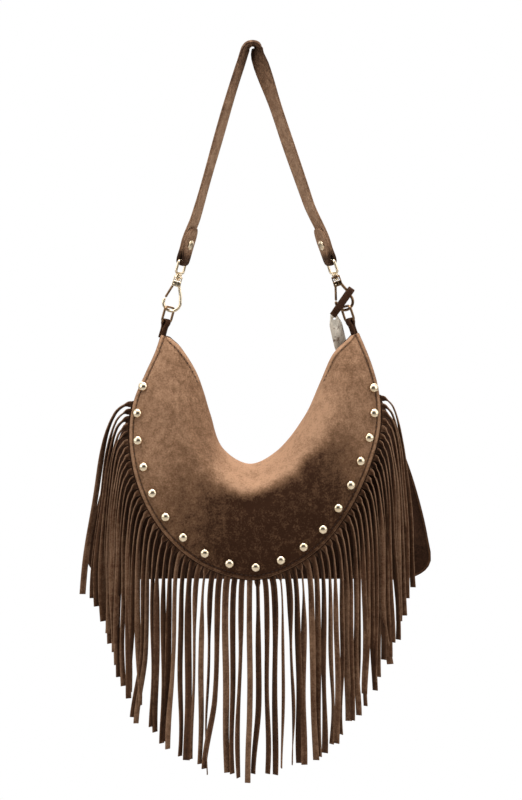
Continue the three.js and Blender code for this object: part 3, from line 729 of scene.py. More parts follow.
def make_flap():
    shares = np.linspace(0, 1, 251)
    rays = [Ray(t) for t in shares]
    v = np.array([flap_stations(ray) for ray in rays])
    grid = np.array([flap_surface(ray, row) for ray, row in zip(rays, v)])
    normals = rolled_normals(grid, True, v)
    relief, gap = flap_relief(rays, v, grid)
    rings = sheet_rings(grid, normals, -relief, np.full(v.shape, SUEDE))
    shade_and_tone = flap_painted_shade(rays, v, grid)
    # Painted shade in the hem's groove and a painted highlight on the lip along the edge.
    shade_and_tone += 0.4 * np.exp(-(((gap - 3.5) / 0.8) ** 2)) - 0.1 * np.exp(-(((gap - 1.2) / 1.3) ** 2))
    heap = Heap()
    heap.add(rings, ring_values(shade_and_tone, 0.5, 0.7))
    flap = heap.make("front_flap_suede", "flap")
    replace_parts(flap, "front_flap")
    return flap, flat_cut(grid)


def make_panel(name, surface, towards_back, offset, shade_and_tone, finish, thick, t_range, v_range, cad_node, ripple):
    """One layer of the pouch, offset below its surface; offset fades to nothing at the seam."""
    shares = np.linspace(*t_range, 161)
    rays = [Ray(t) for t in shares]
    v = np.broadcast_to(np.linspace(*v_range, 61), (len(rays), 61))
    grid = np.array([surface(ray, row) for ray, row in zip(rays, v)])
    normals = rolled_normals(grid, towards_back, v)
    relief = ripple * (1.2 * wobble(grid, 60.0, 8.0) + 0.6 * wobble(grid, 24.0, 9.0))
    relief *= bump_between(v, 0.02, 0.2) * (1 - bump_between(v, 0.86, 0.98))
    depth = offset * (1 - bump_between(v, 0.80, 0.97)) if v_range[1] == 1 else np.full(v.shape, offset)
    rings = sheet_rings(grid, normals, depth - relief, depth - relief + thick)
    heap = Heap()
    # Painted shade given for each panel, with random tone added.
    shade = shade_and_tone + 0.1 * wobble(grid, 30.0, 11.0)
    heap.add(rings, ring_values(shade, 0.3, shade_and_tone))
    panel = heap.make(name, finish)
    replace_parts(panel, cad_node)
    return panel, flat_cut(grid)


def make_pouch():
    front_from = SUEDE + 1.7
    front_lining = front_from + SUEDE + 1.3
    inset = 2 / 28
    inside = ((inset, 1 - inset), (0.1, 0.8))
    # The front panel's high value is painted shade: it lies in shadow behind the flap and fringe.
    front = make_panel("front_panel_suede", pouch_front, True, front_from, 0.72, "body", SUEDE,
                       (0.008, 0.992), (0, 1), "front_panel", 0.0)
    back = make_panel("back_panel_suede", pouch_back, False, 0.0, 0.34, "body", SUEDE,
                      (0, 1), (0, 1), "back_panel", 1.0)
    lining_front = make_panel("lining_front_cotton", pouch_front, True, front_lining, 0.5, "lining", LINING,
                              *inside, "lining_front", 0.0)
    lining_back = make_panel("lining_back_cotton", pouch_back, False, SUEDE + 0.8, 0.5, "lining", LINING,
                             *inside, "lining_back", 0.0)
    return front, back, lining_front, lining_back


def stitch_heap(heap, points, normals, along, length, radius, sides=6):
    """Short raised stitches, one at each point, lying along the seam."""
    shape = np.array([(-0.5, 0.15), (-0.36, 0.8), (0.0, 1.0), (0.36, 0.8), (0.5, 0.15)])
    for point, normal, direction in zip(points, normals, along):
        middle = [point + direction * length * a - normal * radius * 0.25 for a, _ in shape]
        heap.add(tube(np.array(middle), normal, radius * shape[:, 1], sides))


def flap_point(ray, gap, lift):
    """Point on the flap, gap inside its edge, with the outward normal and the direction along the edge."""
    step = 0.002
    v = float(v_at(ray, gap))
    near = [flap_surface(Ray(min(max(ray.t + d, 0), 1)), np.array([v]))[0] for d in (-step, step)]
    below, above = flap_surface(ray, np.array([max(v - step, 0), min(v + step, 1)]))
    normal = unit(np.cross(near[1] - near[0], above - below))
    normal = -normal if normal[1] > 0 else normal
    point = flap_surface(ray, np.array([v]))[0] + normal * lift
    return point, normal, unit(near[1] - near[0])


def make_hem_stitches():
    """Topstitching in the groove of the flap's hem."""
    heap = Heap()
    pitch, length = 4.6, 3.2
    total = lengths_along(FLAP_EDGE)[-1]
    count = int(total * 0.97 / pitch)
    found = [flap_point(Ray(t), 3.5, -0.35) for t in np.linspace(0.015, 0.985, count)]
    stitch_heap(heap, *zip(*found), length, 0.42)
    return heap.make("hem_stitches", "dark_thread")


def make_corner_stitches(name, t_range):
    """Topstitching beside the top edge, near one corner."""
    heap = Heap()
    pitch = 4.4
    first, last = t_range
    total = lengths_along(TOP_EDGE)[-1] * abs(last - first)
    places = np.linspace(first, last, int(total / pitch))
    step = 0.002
    points, normals, along = [], [], []
    for t in places:
        ray, after = Ray(t), Ray(t + step)
        v = float((5.2 / ray.flap_reach) ** (1 / 1.3)) if ray.flap_reach > 12 else 0.5
        here, above = flap_surface(ray, np.array([v, v + step]))
        there = flap_surface(after, np.array([v]))[0]
        normal = unit(np.cross(there - here, above - here))
        normal = -normal if normal[1] > 0 else normal
        points.append(here + normal * 0.2)
        normals.append(normal)
        along.append(unit(there - here))
    stitch_heap(heap, points, normals, along, 2.6, 0.5)
    return heap.make(name, "dark_thread")


# ---- fringe ----
FRINGE_THICK = 1.2
BEHIND_FLAP = SUEDE + 0.75  # from the flap's face to the fringe's middle
HEADER_DEPTH = 7.0  # of the band behind the flap's edge that the strips are cut from
HEADER_OVERHANG = 0.006  # how far the band runs past the outermost strips, as a share of the edge


def outward_at(ray):
    """Direction square to the flap's edge, away from the flap."""
    outward = np.array([ray.edge_tangent[1], -ray.edge_tangent[0]])
    return outward if outward @ ray.direction > 0 else -outward


class Strip:
    """One strip of the fringe. order counts the strips from the end of the fringe on its side."""

    def __init__(self, t, order, rng):
        self.ray = Ray(t)
        self.rng = rng
        self.side = -1 if t < 0.5 else 1
        outward = outward_at(self.ray)
        self.turn = math.atan2(outward[0], -outward[1])
        outermost = math.exp(-order / 1.8) * (1.0 if self.side < 0 else 0.45)
        self.turn_length = rng.uniform(10.5, 12.5) + 6.5 * outermost
        self.lean = self.side * (0.015 + 0.13 * outermost) * math.sin(abs(self.turn))
        self.width = rng.uniform(5.4, 7.4)
        self.length = FRINGE_LENGTH + rng.uniform(-1.0, 9.0)
        self.curl = rng.uniform(5.0, 12.0) if rng.random() < 0.22 else 0.0

    def natural_path(self):
        """Leaves the edge square to it and soon hangs down."""
        step = 1.5
        s = np.arange(0, self.length + 30, step)
        angle = self.lean + (self.turn - self.lean) * np.exp(-s / self.turn_length)
        x = np.cumsum(np.sin(angle)) * step
        z = -np.cumsum(np.cos(angle)) * step
        edge = at_share(FLAP_EDGE, self.ray.t)
        return edge[0] + x, edge[1] + z


def fringe_strips():
    rng = random.Random(11)
    total = lengths_along(FLAP_EDGE)[-1]
    first, last = FRINGE_RANGE
    count = int(total * (last - first) / STRIP_PITCH)
    return [Strip(t, min(i, count - 1 - i), rng) for i, t in enumerate(np.linspace(first, last, count))]


def spread_paths(strips):
    """For each strip, its x at shared levels and its own free path. Each strip is pushed outwards until it
    clears the next one in, as the outer strips hang beside the ones that start below them."""
    levels = np.arange(-340.0, -800.0, -3.0)
    paths = [None] * len(strips)
    middle = len(strips) // 2
    for order, side in ((range(middle, -1, -1), -1), (range(middle + 1, len(strips)), 1)):
        inner = None
        for index in order:
            x, z = strips[index].natural_path()
            here = np.interp(levels, z[::-1], x[::-1])
            if inner is not None:
                inner_x, inner_from = inner
                apart = 1.6 + 1.6 * np.clip((inner_from - levels) / 110.0, 0, 1)
                limit = inner_x + side * apart
                pushed = np.maximum(here, limit) if side > 0 else np.minimum(here, limit)
                here = np.where(levels <= inner_from, pushed, here)
            padded = np.concatenate([np.full(4, here[0]), here, np.full(4, here[-1])])
            smooth = np.convolve(padded, np.full(9, 1 / 9), "valid")
            blend = bump_between(z[0] - levels, 6.0, 26.0)
            here = here * (1 - blend) + smooth * blend
            paths[index] = (levels, here, x, z)
            inner = (here, z[0])
    return paths


def strip_centreline(strip, path):
    """Points down one strip, cut to its length, with its sway and its slight curl added."""
    levels, at_level, natural_x, natural_z = path
    arc_end = natural_z[0] - 10.0
    arc = natural_z > arc_end
    below = levels < arc_end
    x = np.concatenate([natural_x[arc], at_level[below]])
    z = np.concatenate([natural_z[arc], levels[below]])
    s = lengths_along(np.stack([x, z], axis=1))
    rng = strip.rng
    hang = bump_between(s, 40.0, strip.length)
    low_end = bump_between(s, strip.length - 75.0, strip.length + 20.0)
    x = x + hang * rng.uniform(-3.5, 3.5) + strip.curl * low_end * rng.choice([-0.6, 1.0]) * strip.side
    x = x + 1.5 * hang * np.sin(s / rng.uniform(20, 38) + rng.uniform(0, 6.3))
    edge = flap_surface(strip.ray, np.array([1.0]))[0]
    y = edge[1] + BEHIND_FLAP + 2.2 * bump_between(s, 8.0, 60.0) * rng.uniform(-1, 1)
    y = y + bump_between(s, 30.0, strip.length) * rng.uniform(-4.0, 4.0)
    y = y + 1.3 * hang * np.sin(s / rng.uniform(16, 32) + rng.uniform(0, 6.3))
    points = np.stack([x, y, z], axis=1)
    along = lengths_along(points)
    places = np.concatenate([np.linspace(0, 24, 13)[:-1], np.linspace(24, strip.length, 44)])
    return np.stack([np.interp(places, along, column) for column in points.T], axis=1), places


def strip_faces(strip, s):
    """Angle of the strip's width out of the bag's front plane, down its length."""
    rng = strip.rng
    bend = bump_between(abs(strip.turn), 0.25, 0.9)
    edge_on = math.radians(rng.uniform(66, 86)) * bend
    if bend < 0.5:
        edge_on += math.radians(rng.choice([0, 10, 15, 60, 25, 75]) * rng.uniform(0.6, 1.0))
    lapped = rng.uniform(24, 50)
    settled = math.radians(lapped if bend > 0.5 else rng.choice([12, 25, 40, 55, 70, 5]) + rng.uniform(-8, 8))
    angle = edge_on * bump_between(s, 1.0, 8.0)
    angle = angle + (settled - edge_on) * bump_between(s, 24.0, 80.0)
    twist = np.sin(s / rng.uniform(22, 45) + rng.uniform(0, 6.3))
    angle = angle + 0.35 * bump_between(s, 60.0, 200.0) * twist
    return -strip.side * angle


def add_fringe_header(heap):
    """Band behind the flap's edge that the strips are cut from. Returns its area above the strips."""
    first, last = FRINGE_RANGE
    gaps = np.array([HEADER_DEPTH, 5.0, 3.0, 1.5, 0.5, 0.0])
    beyond = np.array([0.8, 1.6])
    rows = []
    for t in np.linspace(first - HEADER_OVERHANG, last + HEADER_OVERHANG, 201):
        ray = Ray(t)
        inside = flap_surface(ray, v_at(ray, gaps))
        out = outward_at(ray)
        outside = inside[-1] + beyond[:, None] * np.array([out[0], 0, out[1]])
        rows.append(np.vstack([inside, outside]))
    grid = np.array(rows)
    front = np.full(grid.shape[:2], BEHIND_FLAP - FRINGE_THICK / 2)
    normals = surface_normals(grid, True)
    # The band is dark all over: painted shade under the flap's edge.
    shade_and_tone = np.full(grid.shape[:2], 0.9)
    heap.add(sheet_rings(grid, normals, front, front + FRINGE_THICK), ring_values(shade_and_tone, 0.8, 0.9))
    return grid_area(grid[:, :len(gaps)])


def make_fringe():
    strips = fringe_strips()
    paths = spread_paths(strips)
    heap = Heap()
    area = add_fringe_header(heap)
    for strip, path in zip(strips, paths):
        points, s = strip_centreline(strip, path)
        along = tangents(points)
        in_plane = unit(np.stack([-along[:, 2], np.zeros(len(s)), along[:, 0]], axis=1))
        turn = strip_faces(strip, s)
        depthwise = unit(np.cross(in_plane, along))
        wide = in_plane * np.cos(turn)[:, None] + depthwise * np.sin(turn)[:, None]
        rings = sweep(points, wide, strip_section(strip.width, FRINGE_THICK))
        # Random tone per strip, plus painted shade that darkens each strip near its root under the flap. The
        # cut edges are lighter, partly raw suede and partly a painted highlight on the thin edge-on arcs near
        # the root.
        strip_tone_and_shade = 0.62 + strip.rng.uniform(-0.34, 0.26) + 0.2 * (1 - bump_between(s, 20, 80))
        at_root = 1 - bump_between(s, 20, 70)
        raw_edge_and_highlight = 0.72 + 0.2 * at_root
        shade_and_tone = strip_tone_and_shade[:, None] - ((strip_tone_and_shade - 0.08) * raw_edge_and_highlight)[:, None] * STRIP_EDGE[None]
        heap.add(rings, shade_and_tone)
        area += strip.width * strip.length
    fringe = heap.make("fringe_strips", "fringe")
    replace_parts(fringe, "fringe")
    first, last = FRINGE_RANGE
    width = float(lengths_along(FLAP_EDGE)[-1]) * (last - first + 2 * HEADER_OVERHANG)
    return fringe, (width, HEADER_DEPTH + max(strip.length for strip in strips), area)


# ---- studs and snap ----
def stand(point, normal):
    """Matrix that puts a turned piece's axis along normal at point."""
    turn = Vector(normal).to_track_quat("Z", "Y").to_matrix().to_4x4()
    return Matrix.Translation(Vector(point)) @ turn


def dome_profile(radius, height, rim=0.5, steps=9):
    """Dome that springs from a short rim; it closes flat underneath."""
    quarter = np.linspace(0, math.pi / 2, steps)
    arc = [(radius * math.cos(a), rim + (height - rim) * math.sin(a)) for a in quarter]
    return [(0, 0), (radius - 0.4, 0), (radius, 0.15), *arc]


def make_studs():
    for i in range(STUD_COUNT):
        share = i / (STUD_COUNT - 1)
        t = STUD_RANGE[0] + (STUD_RANGE[1] - STUD_RANGE[0]) * share + 0.01 * math.sin(math.pi * share)
        from_end = min(i, STUD_COUNT - 1 - i)
        inset = STUD_INSET * min(0.5 + from_end / 6, 1)
        ray = Ray(t)
        point, normal, _ = flap_point(ray, inset * ray.squareness, CLEAR + 0.3)
        heap = Heap()
        heap.add(turned_rings(dome_profile(STUD_RADIUS, 4.2), stand(point, normal), 40))
        stud = heap.make(f"stud_{i + 1:02d}_dome", "gold")
        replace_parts(stud, f"stud_{i + 1:02d}")


# ---- strap ----
def chain_matrix(side):
    mirror = SIDES[side]
    turn = Matrix.Rotation(mirror * math.radians(CHAIN_TILT[side]), 4, "Y")
    return Matrix.Translation((-mirror * CHAIN_X, 0, CHAIN_Z)) @ turn


def strap_axes(side):
    """Directions across the strap's width and out of its face, in the chain's frame."""
    mirror = SIDES[side]
    wide = Vector((mirror * math.cos(STRAP_TURN), math.sin(STRAP_TURN), 0))
    out = Vector((mirror * math.sin(STRAP_TURN), -math.cos(STRAP_TURN), 0))
    return wide, out


LAYER = STRAP_THICK / 2 + 0.3
FOLD_RADIUS = EYE_WIRE + CLEAR + STRAP_THICK / 2
RIVET_Z = 18.0


def strap_end(side):
    """Rows [x, y, z, width] from the tip of the folded tab, round the bar and up to the leg."""
    _, out = strap_axes(side)
    stations = [(LAYER, STRAP_TAB, 8), (LAYER, STRAP_TAB - 2, 13), (LAYER, STRAP_TAB - 6, 17.5),
                (LAYER, STRAP_TAB - 12, STRAP_WIDTH), (LAYER, 12, STRAP_WIDTH - 1), (FOLD_RADIUS, 3, 13)]
    for angle in np.linspace(0, -math.pi, 9):
        stations.append((FOLD_RADIUS * math.cos(angle), FOLD_RADIUS * math.sin(angle), STRAP_FOLD_WIDTH))
    stations += [(-FOLD_RADIUS, 3, 13), (-LAYER, 12, 17), (-LAYER, 22, 18), (-LAYER, STRAP_TAB, 18)]
    place = chain_matrix(side)
    return [(*(place @ (out * o + Vector((0, 0, z)))), width) for o, z, width in stations]


def pulled_in(x, z):
    """How far each leg hangs in towards the other: the right leg from its top, the left one lower down."""
    right = 4.5 * bump_between(-z, 0, 16) * (1 - bump_between(-z, 165, 205))
    left = 2.6 * bump_between(-z, 60, 180) * (1 - bump_between(-z, 180, 208))
    return np.where(x > -SWAY, -right, left)


def strap_turns(x, z):
    """Angle of the strap's width out of the front plane. The right leg opens towards its top."""
    at_end = bump_between(-z, 150, 195)
    right = 38 + 21 * bump_between(-z, 20, 70)
    turn = np.where(x > -SWAY, right, 70)
    return np.radians(turn + (math.degrees(STRAP_TURN) - turn) * at_end)


def make_strap():
    left, right = strap_end("left"), strap_end("right")[::-1]
    top = [(PEG_RADIUS * math.cos(a) - SWAY, 0, PEG_RADIUS * (math.sin(a) - 1) - STRAP_THICK / 2, STRAP_WIDTH)
           for a in np.radians(np.linspace(162, 18, 9))]
    legs = np.linspace(0, 1, 7)[1:-1, None]
    up = np.array(left[-1]) * (1 - legs) + np.array(top[0]) * legs
    down = np.array(top[-1]) * (1 - legs) + np.array(right[0]) * legs
    rows = smooth_curve([*left, *up, *top, *down, *right], per_span=8)
    points, widths = rows[:, :3].copy(), rows[:, 3]
    x, z = points[:, 0].copy(), points[:, 2].copy()
    points[:, 0] += pulled_in(x, z)
    to_right = bump_between(x + SWAY, -7.0, 7.0)
    turns = strap_turns(x, z)
    tilt = np.radians(np.where(x < -SWAY, CHAIN_TILT["left"], CHAIN_TILT["right"]))
    mirror = np.where(x < -SWAY, 1, -1)
    flat = np.cos(turns)
    wide = np.stack([mirror * flat * np.cos(tilt), np.sin(turns), -flat * np.sin(tilt)], axis=1)
    over_peg = np.stack([(1 - 2 * to_right) * 0.4, np.full(len(x), 2.0), np.zeros(len(x))], axis=1)
    apex = ((z > -9) & (abs(x + SWAY) < 12))[:, None]
    wide = unit(np.where(apex, unit(over_peg), wide))
    kernel = np.full(9, 1 / 9)
    smoothed = [np.convolve(np.pad(column, 4, "edge"), kernel, "valid") for column in wide.T]
    wide = unit(np.stack(smoothed, axis=1))
    columns = 14
    across = np.linspace(-1, 1, columns)
    crumple = np.exp(-((z / 26.0) ** 2))
    along = lengths_along(points)
    ridge = np.cos(across[None] * 3 * math.pi) * 1.1 * crumple[:, None]
    dish = 0.5 * (1 - across[None] ** 2) * bump_between(-z, 30, 60)[:, None]
    wave = 0.35 * np.sin(along / 17.0)[:, None] * (0.4 + 0.6 * across[None])
    lift = ridge + dish + wave
    half = widths[:, None] / 2 * (1 - 0.12 * crumple[:, None])
    top_face = np.stack([half * across * 0.985, STRAP_THICK / 2 + lift], axis=2)
    under_face = np.stack([half * across * 0.985, -STRAP_THICK / 2 + lift], axis=2)[:, ::-1]
    edge_a = [np.stack([half[:, 0], lift[:, -1] + h], axis=1) for h in (0.75, 0.12, -0.12, -0.75)]
    edge_b = [np.stack([-half[:, 0], lift[:, 0] + h], axis=1) for h in (-0.75, -0.12, 0.12, 0.75)]
    for edge, sign in ((edge_a, -1), (edge_b, 1)):
        for seam in edge[1:3]:
            seam[:, 0] += sign * 0.35
    sections = np.concatenate([top_face, np.stack(edge_a, 1), under_face, np.stack(edge_b, 1)], axis=1)
    rings = sweep(points, wide, sections)
    # Darker towards the top, where the strap goes over the peg.
    dark_top = np.where(x > -SWAY, 1.0, 0.75) * np.exp(-((z / 48.0) ** 2))
    shade_and_tone = 0.3 + 0.55 * dark_top[:, None] + 0.08 * wobble(rings, 16.0, 3.0)
    # Painted shade on both cut edges, more on the inner one that faces away from the light.
    inner_edge, outer_edge = slice(-4, None), slice(columns, columns + 4)
    shade_and_tone[:, inner_edge] += 0.3
    shade_and_tone[:, outer_edge] += 0.2
    # Darker at the tab's tip, and painted shade in the fold round the eye's bar.
    tip = bump_between(z, CHAIN_Z + STRAP_TAB - 7, CHAIN_Z + STRAP_TAB - 1) * (along < 20)
    fold = (1 - bump_between(z, CHAIN_Z + 1, CHAIN_Z + 13)) * 0.7
    shade_and_tone += (0.5 * tip + fold)[:, None]
    heap = Heap()
    heap.add(rings, shade_and_tone)
    strap = heap.make("shoulder_strap_suede", "strap")
    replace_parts(strap, "shoulder_strap")
    area = float((np.diff(along) * (widths[:-1] + widths[1:]) / 2).sum())
    return strap, (STRAP_WIDTH, float(along[-1]), area)


# ---- hardware ----
def placed(side, rings):
    """Rings from the chain's frame into the bag's."""
    place = np.array(chain_matrix(side))
    return rings @ place[:3, :3].T + place[:3, 3]


def rounded_loop(wide, half_width, top, height, corner, steps=8):
    points = []
    for quarter, (sign, low) in enumerate(((1, 0), (-1, 0), (-1, 1), (1, 1))):
        for angle in np.linspace(0, math.pi / 2, steps) + quarter * math.pi / 2:
            w = sign * (half_width - corner) + corner * math.cos(angle)
            z = top - corner - low * (height - 2 * corner) + corner * math.sin(angle)
            points.append(np.array(wide) * w + (0, 0, z))
    return np.array(points)


def bow_point(angle):
    return np.array([0.6 + BOW_RADIUS * math.cos(angle), 0, BOW_Z + BOW_RADIUS * math.sin(angle)])


def make_rivet(side):
    _, out = strap_axes(side)
    face = LAYER + STRAP_THICK / 2 + CLEAR
    seat = stand(out * face + Vector((0, 0, RIVET_Z)), out)
    cap = Heap()
    cap.add(placed(side, turned_rings(dome_profile(5.2, 2.2, 0.4), seat, 40)))
    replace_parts(cap.make(f"rivet_cap_{side}_dome", "gold"), f"rivet_cap_{side}")
    post = Heap()
    profile = [(0, -face - 1), (3.6, -face - 1), (4.3, -face - 0.7), (4.5, -face), (2, -face),
               (2, face - CLEAR), (0, face - CLEAR)]
    post.add(placed(side, turned_rings(profile, stand(Vector((0, 0, RIVET_Z)), out), 32)))
    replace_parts(post.make(f"rivet_post_{side}_turned", "gold"), f"rivet_post_{side}")


def make_eye(side):
    wide, out = strap_axes(side)
    heap = Heap()
    loop = rounded_loop(wide, EYE_HALF_WIDTH, 0, EYE_HEIGHT, 2.6)
    heap.add(placed(side, tube(loop, out, EYE_WIRE, 20, looped=True)), looped=True)
    stem = [(0, -21.4), (2.3, -21.4), (2.6, -21.1), (2.6, -20.0), (1.7, -19.2), (1.7, -16.1), (3.1, -16.1),
            (3.4, -15.7), (3.4, -14.4), (2.9, -14.0), (1.9, -13.0), (1.2, -12.2), (0, -12)]
    heap.add(placed(side, turned_rings(stem, Matrix.Identity(4), 32)))
    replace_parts(heap.make(f"swivel_eye_{side}_cast", "gold"), f"swivel_eye_{side}")


HEAD_HALF, HEAD_DEEP, HEAD_TOP, HEAD_BOTTOM = 4.6, 3.4, -16.4, -27.6
PIN_X, PIN_Z, PIN_RADIUS = -2.6, -25.2, 0.8
NOSE_ANGLE = math.radians(158)


def rounded_block(low, high, rounding=0.6, steps=4):
    """Rings of a box between two corners, with rounded edges."""
    low, high = np.array(low, float), np.array(high, float)
    quarter = np.linspace(0, math.pi / 2, steps)
    ends = [(rounding * (1 - math.sin(a)), low[2] + rounding * (1 - math.cos(a))) for a in quarter]
    ends += [(rounding * (1 - math.cos(a)), high[2] - rounding * (1 - math.sin(a))) for a in quarter]
    rings = []
    for inset, z in ends:
        ring = []
        for corner, (x_high, y_high) in enumerate(((1, 1), (0, 1), (0, 0), (1, 0))):
            middle = np.where([x_high, y_high], high[:2] - rounding, low[:2] + rounding)
            reach = rounding - inset
            ring += [(*(middle + reach * np.array([math.cos(a), math.sin(a)])), z)
                     for a in quarter + corner * math.pi / 2]
        rings.append(ring)
    return np.array(rings)


def pierced_disc(inner, outer, low, high, squash=1.0, rounding=0.4, sides=40):
    """Rings of a flat collar with a round hole. squash flattens its outline front to back."""
    angle = 2 * math.pi * np.arange(sides) / sides
    section = [(inner, low), (inner, high), (outer - rounding, high), (outer, high - rounding),
               (outer, low + rounding), (outer - rounding, low)]
    rings = []
    for radius, z in section:
        flat = 1.0 if radius == inner else squash
        rings.append([(radius * math.cos(a), radius * flat * math.sin(a), z) for a in angle])
    return np.array(rings)


def make_hook(side):
    """Head with its window and gate slot, and the round wire that bends from it into the bow."""
    heap = Heap()
    cheek = 1.4

    def add_block(low, high, rounding=0.6):
        heap.add(placed(side, rounded_block(low, high, rounding)))

    heap.add(placed(side, pierced_disc(2.05, HEAD_HALF, -18.9, HEAD_TOP, HEAD_DEEP / HEAD_HALF)), looped=True)
    for sign in (-1, 1):
        near, far = sorted((sign * 3.2, sign * (HEAD_HALF - 0.1)))
        add_block((near, -2.2, -22.8), (far, 2.2, -18.2), 0.5)
        low, high = sorted((sign * 1.95, sign * (1.95 + cheek)))
        add_block((-HEAD_HALF, low, HEAD_BOTTOM), (1.0, high, -22.4), 0.5)
    add_block((-HEAD_HALF, -3.3, -23.0), (HEAD_HALF, 3.3, -22.0), 0.45)
    add_block((0.2, -3.3, HEAD_BOTTOM), (HEAD_HALF, 3.3, -22.2), 0.8)
    arc = [bow_point(a) for a in np.linspace(0.35, NOSE_ANGLE - 2 * math.pi, 23)]
    spine = [np.array(p, float) for p in ((2.8, 0, -24.5), (4.4, 0, -29), (7, 0, -35))]
    path = respaced(smooth_curve([*spine, *arc], per_span=6), 90)
    from_nose = lengths_along(path)[-1] - lengths_along(path)
    radius = HOOK_WIRE * np.sqrt(np.clip(1 - (1 - np.minimum(from_nose / 1.1, 1)) ** 2, 0.04, 1))
    heap.add(placed(side, tube(path, (0, 1, 0), radius, 24)))
    finish = {"left": "gold", "right": "bronze"}[side]
    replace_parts(heap.make(f"hook_body_{side}_cast", finish, f"hook_{side}"), f"hook_body_{side}")


def make_gate(side):
    """Bar from the knuckle on the pin to just short of the nose."""
    pin = np.array([PIN_X, 0, PIN_Z])
    to_nose = bow_point(NOSE_ANGLE) - pin
    length = np.linalg.norm(to_nose) - 0.5
    direction = unit(to_nose)
    stations = np.array([1.5, 2.2, 5.0, 9.0, length - 1.0, length - 0.4, length])
    path = pin + stations[:, None] * direction
    heap = Heap()
    heap.add(placed(side, tube(path, (0, 1, 0), [1.0, 1.25, 1.25, 1.25, 1.25, 1.05, 0.6], 24)))
    collar = pierced_disc(PIN_RADIUS + 0.2, 1.7, -1.5, 1.5, rounding=0.3, sides=32)
    collar = collar[..., [0, 2, 1]] + pin
    heap.add(placed(side, collar), looped=True)
    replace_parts(heap.make(f"hook_gate_{side}_bar", "bronze", f"gate_{side}"), f"hook_gate_{side}")


def make_pin_and_spring(side):
    half = 3.5
    profile = [(0, -half - 0.25), (0.5, -half - 0.2), (PIN_RADIUS, -half + 0.15), (PIN_RADIUS, half - 0.15),
               (0.5, half + 0.2), (0, half + 0.25)]
    pin = Heap()
    pin.add(placed(side, turned_rings(profile, stand((PIN_X, 0, PIN_Z), (0, 1, 0)), 24)))
    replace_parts(pin.make(f"gate_pin_{side}_turned", "gold", f"hook_{side}"), f"gate_pin_{side}")
    spring = Heap()
    path = np.array([(-0.4, 0, z) for z in np.linspace(-23.6, HEAD_BOTTOM, 9)])
    path[:, 0] -= 0.25 * np.sin(np.linspace(0, math.pi, 9))
    wide = np.broadcast_to((0.0, 1.0, 0.0), path.shape)
    spring.add(placed(side, sweep(path, wide, strip_section(2.6, 0.4))))
    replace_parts(spring.make(f"gate_spring_{side}_leaf", "bronze", f"hook_{side}"), f"gate_spring_{side}")


def make_ring(side):
    mirror = SIDES[side]
    wide = np.array([mirror * math.cos(RING_TURN), math.sin(RING_TURN), 0])
    out = np.array([math.sin(RING_TURN), -mirror * math.cos(RING_TURN), 0])
    top = BOW_Z - BOW_RADIUS + HOOK_WIRE + RING_WIRE + 0.9
    heap = Heap()
    loop = rounded_loop(wide, RING_HALF_WIDTH, top, RING_HEIGHT, 4.0)
    heap.add(placed(side, tube(loop, out, RING_WIRE, 20, looped=True)), looped=True)
    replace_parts(heap.make(f"bag_ring_{side}_wire", "bronze", f"ring_{side}"), f"bag_ring_{side}")
    make_ring_tab(side, wide, out, top - RING_HEIGHT)


def make_ring_tab(side, wide, out, bar_z):
    radius, layer = RING_WIRE + CLEAR + SUEDE / 2, 1.3
    drop = 17.0
    path = [(layer, bar_z - drop), (layer, bar_z - 5), (radius, bar_z - 1)]
    path += [(radius * math.cos(a), bar_z + radius * math.sin(a)) for a in np.linspace(0, math.pi, 9)]
    path += [(-radius, bar_z - 1), (-layer, bar_z - 5), (-layer, bar_z - drop)]
    points = smooth_curve([out * w + (0, 0, z) for w, z in path], per_span=4)
    rings = sweep(points, np.broadcast_to(wide, points.shape), strip_section(8.6, SUEDE))
    heap = Heap()
    heap.add(placed(side, rings), np.broadcast_to(0.72 - 0.3 * STRIP_EDGE, (len(points), 10)))
    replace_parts(heap.make(f"ring_tab_{side}_suede", "body"), f"ring_tab_{side}")


# ---- blank hang tag on its strip ----
TAG_TOP, TAG_THICK = np.array([80.5, 0.0, -282.0]), 1.6
TAG_LEAN, TAG_TURN = math.radians(24), math.radians(-14)
TAG_HOLE, TAG_HOLE_DROP = 1.6, 5.0
STRIP_SPINE, STRIP_HALF_LOOP = np.array([98.0, 0.0, -257.0]), 6.4


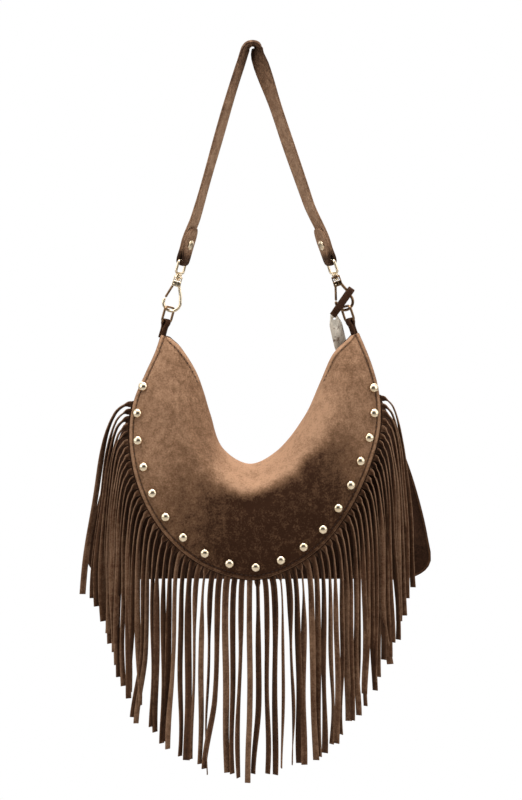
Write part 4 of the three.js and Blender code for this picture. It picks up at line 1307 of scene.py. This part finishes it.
def make_tag_strip():
    """Strip of suede pinched over the tag's top, looped round the spine of the right hook."""
    outwards = unit(STRIP_SPINE - TAG_TOP)
    near_tag = TAG_TOP * 0.8 + STRIP_SPINE * 0.2

    def at(point, y):
        return np.array([point[0], y, point[2]])

    loop = [at(STRIP_SPINE + outwards * 2.5 * math.cos(a), STRIP_HALF_LOOP * math.sin(a))
            for a in np.linspace(-math.pi / 2, math.pi / 2, 9)]
    path = [at(TAG_TOP - outwards * 1.5, -1.9), at(TAG_TOP + outwards * 2, -2.3), at(near_tag, -4.9), *loop,
            at(near_tag, 4.9), at(TAG_TOP + outwards * 2, 2.3), at(TAG_TOP - outwards * 1.5, 1.9)]
    path = smooth_curve(path, per_span=5)
    across = np.array([outwards[2], 0, -outwards[0]])
    rings = sweep(path, np.broadcast_to(across, path.shape), strip_section(7.0, 1.4))
    heap = Heap()
    heap.add(rings, 0.7 - 0.25 * np.broadcast_to(STRIP_EDGE, rings.shape[:2]))
    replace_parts(heap.make("tag_strip_suede", "body"), "tag_strip")


def make_hang_tag():
    """Leaf-shaped card with a round hole near its narrow top."""
    half = [(0, 2.6), (1.7, 2.3), (2.9, 0.8), (4.9, -5.5), (6.6, -12), (6.8, -20), (6.8, -34), (6.4, -41),
            (4.6, -44.0), (0, -44.6)]
    outline = smooth_curve([*half, *[(-x, z) for x, z in half[-2:0:-1]], half[0]], per_span=8)[:-1]
    outline = outline - (0, -TAG_HOLE_DROP)
    angle = np.arctan2(outline[:, 1], outline[:, 0])
    hole = TAG_HOLE * np.stack([np.cos(angle), np.sin(angle)], axis=1)
    inset = outline * (1 - 0.45 / np.linalg.norm(outline, axis=1, keepdims=True))
    face, edge = TAG_THICK / 2, TAG_THICK / 2 - 0.35
    layers = [(hole, -face), (inset, -face), (outline, -edge), (outline, edge), (inset, face), (hole, face)]
    rings = np.array([[(x, y, z - TAG_HOLE_DROP) for x, z in layer] for layer, y in layers])
    turn = np.array(Matrix.Rotation(TAG_TURN, 3, "Y") @ Matrix.Rotation(TAG_LEAN, 3, "X"))
    heap = Heap()
    heap.add(rings @ turn.T + TAG_TOP, looped=True)
    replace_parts(heap.make("hang_tag_card", "tag"), "hang_tag")


def repaint(node, finish):
    """CAD node that stays, with a procedural material."""
    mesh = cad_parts[node].data
    mesh.materials.clear()
    mesh.materials.append(MATERIALS[finish])


make_studio()
flap, flap_cut = make_flap()
front, back, lining_in_front, lining_behind = make_pouch()
hem_stitches = make_hem_stitches()
corner_stitches = [
    make_corner_stitches("corner_stitches_left", (0.02, 0.16)),
    make_corner_stitches("corner_stitches_right", (0.84, 0.975)),
]
fringe, fringe_cut = make_fringe()
make_studs()
strap, strap_cut = make_strap()
for side in SIDES:
    make_rivet(side)
    make_eye(side)
    make_ring(side)
    make_hook(side)
    make_gate(side)
    make_pin_and_spring(side)
make_tag_strip()
make_hang_tag()
for node in ("snap_stud", "snap_cup"):
    repaint(node, "gold")

bpy.context.scene.view_settings.view_transform = "Standard"
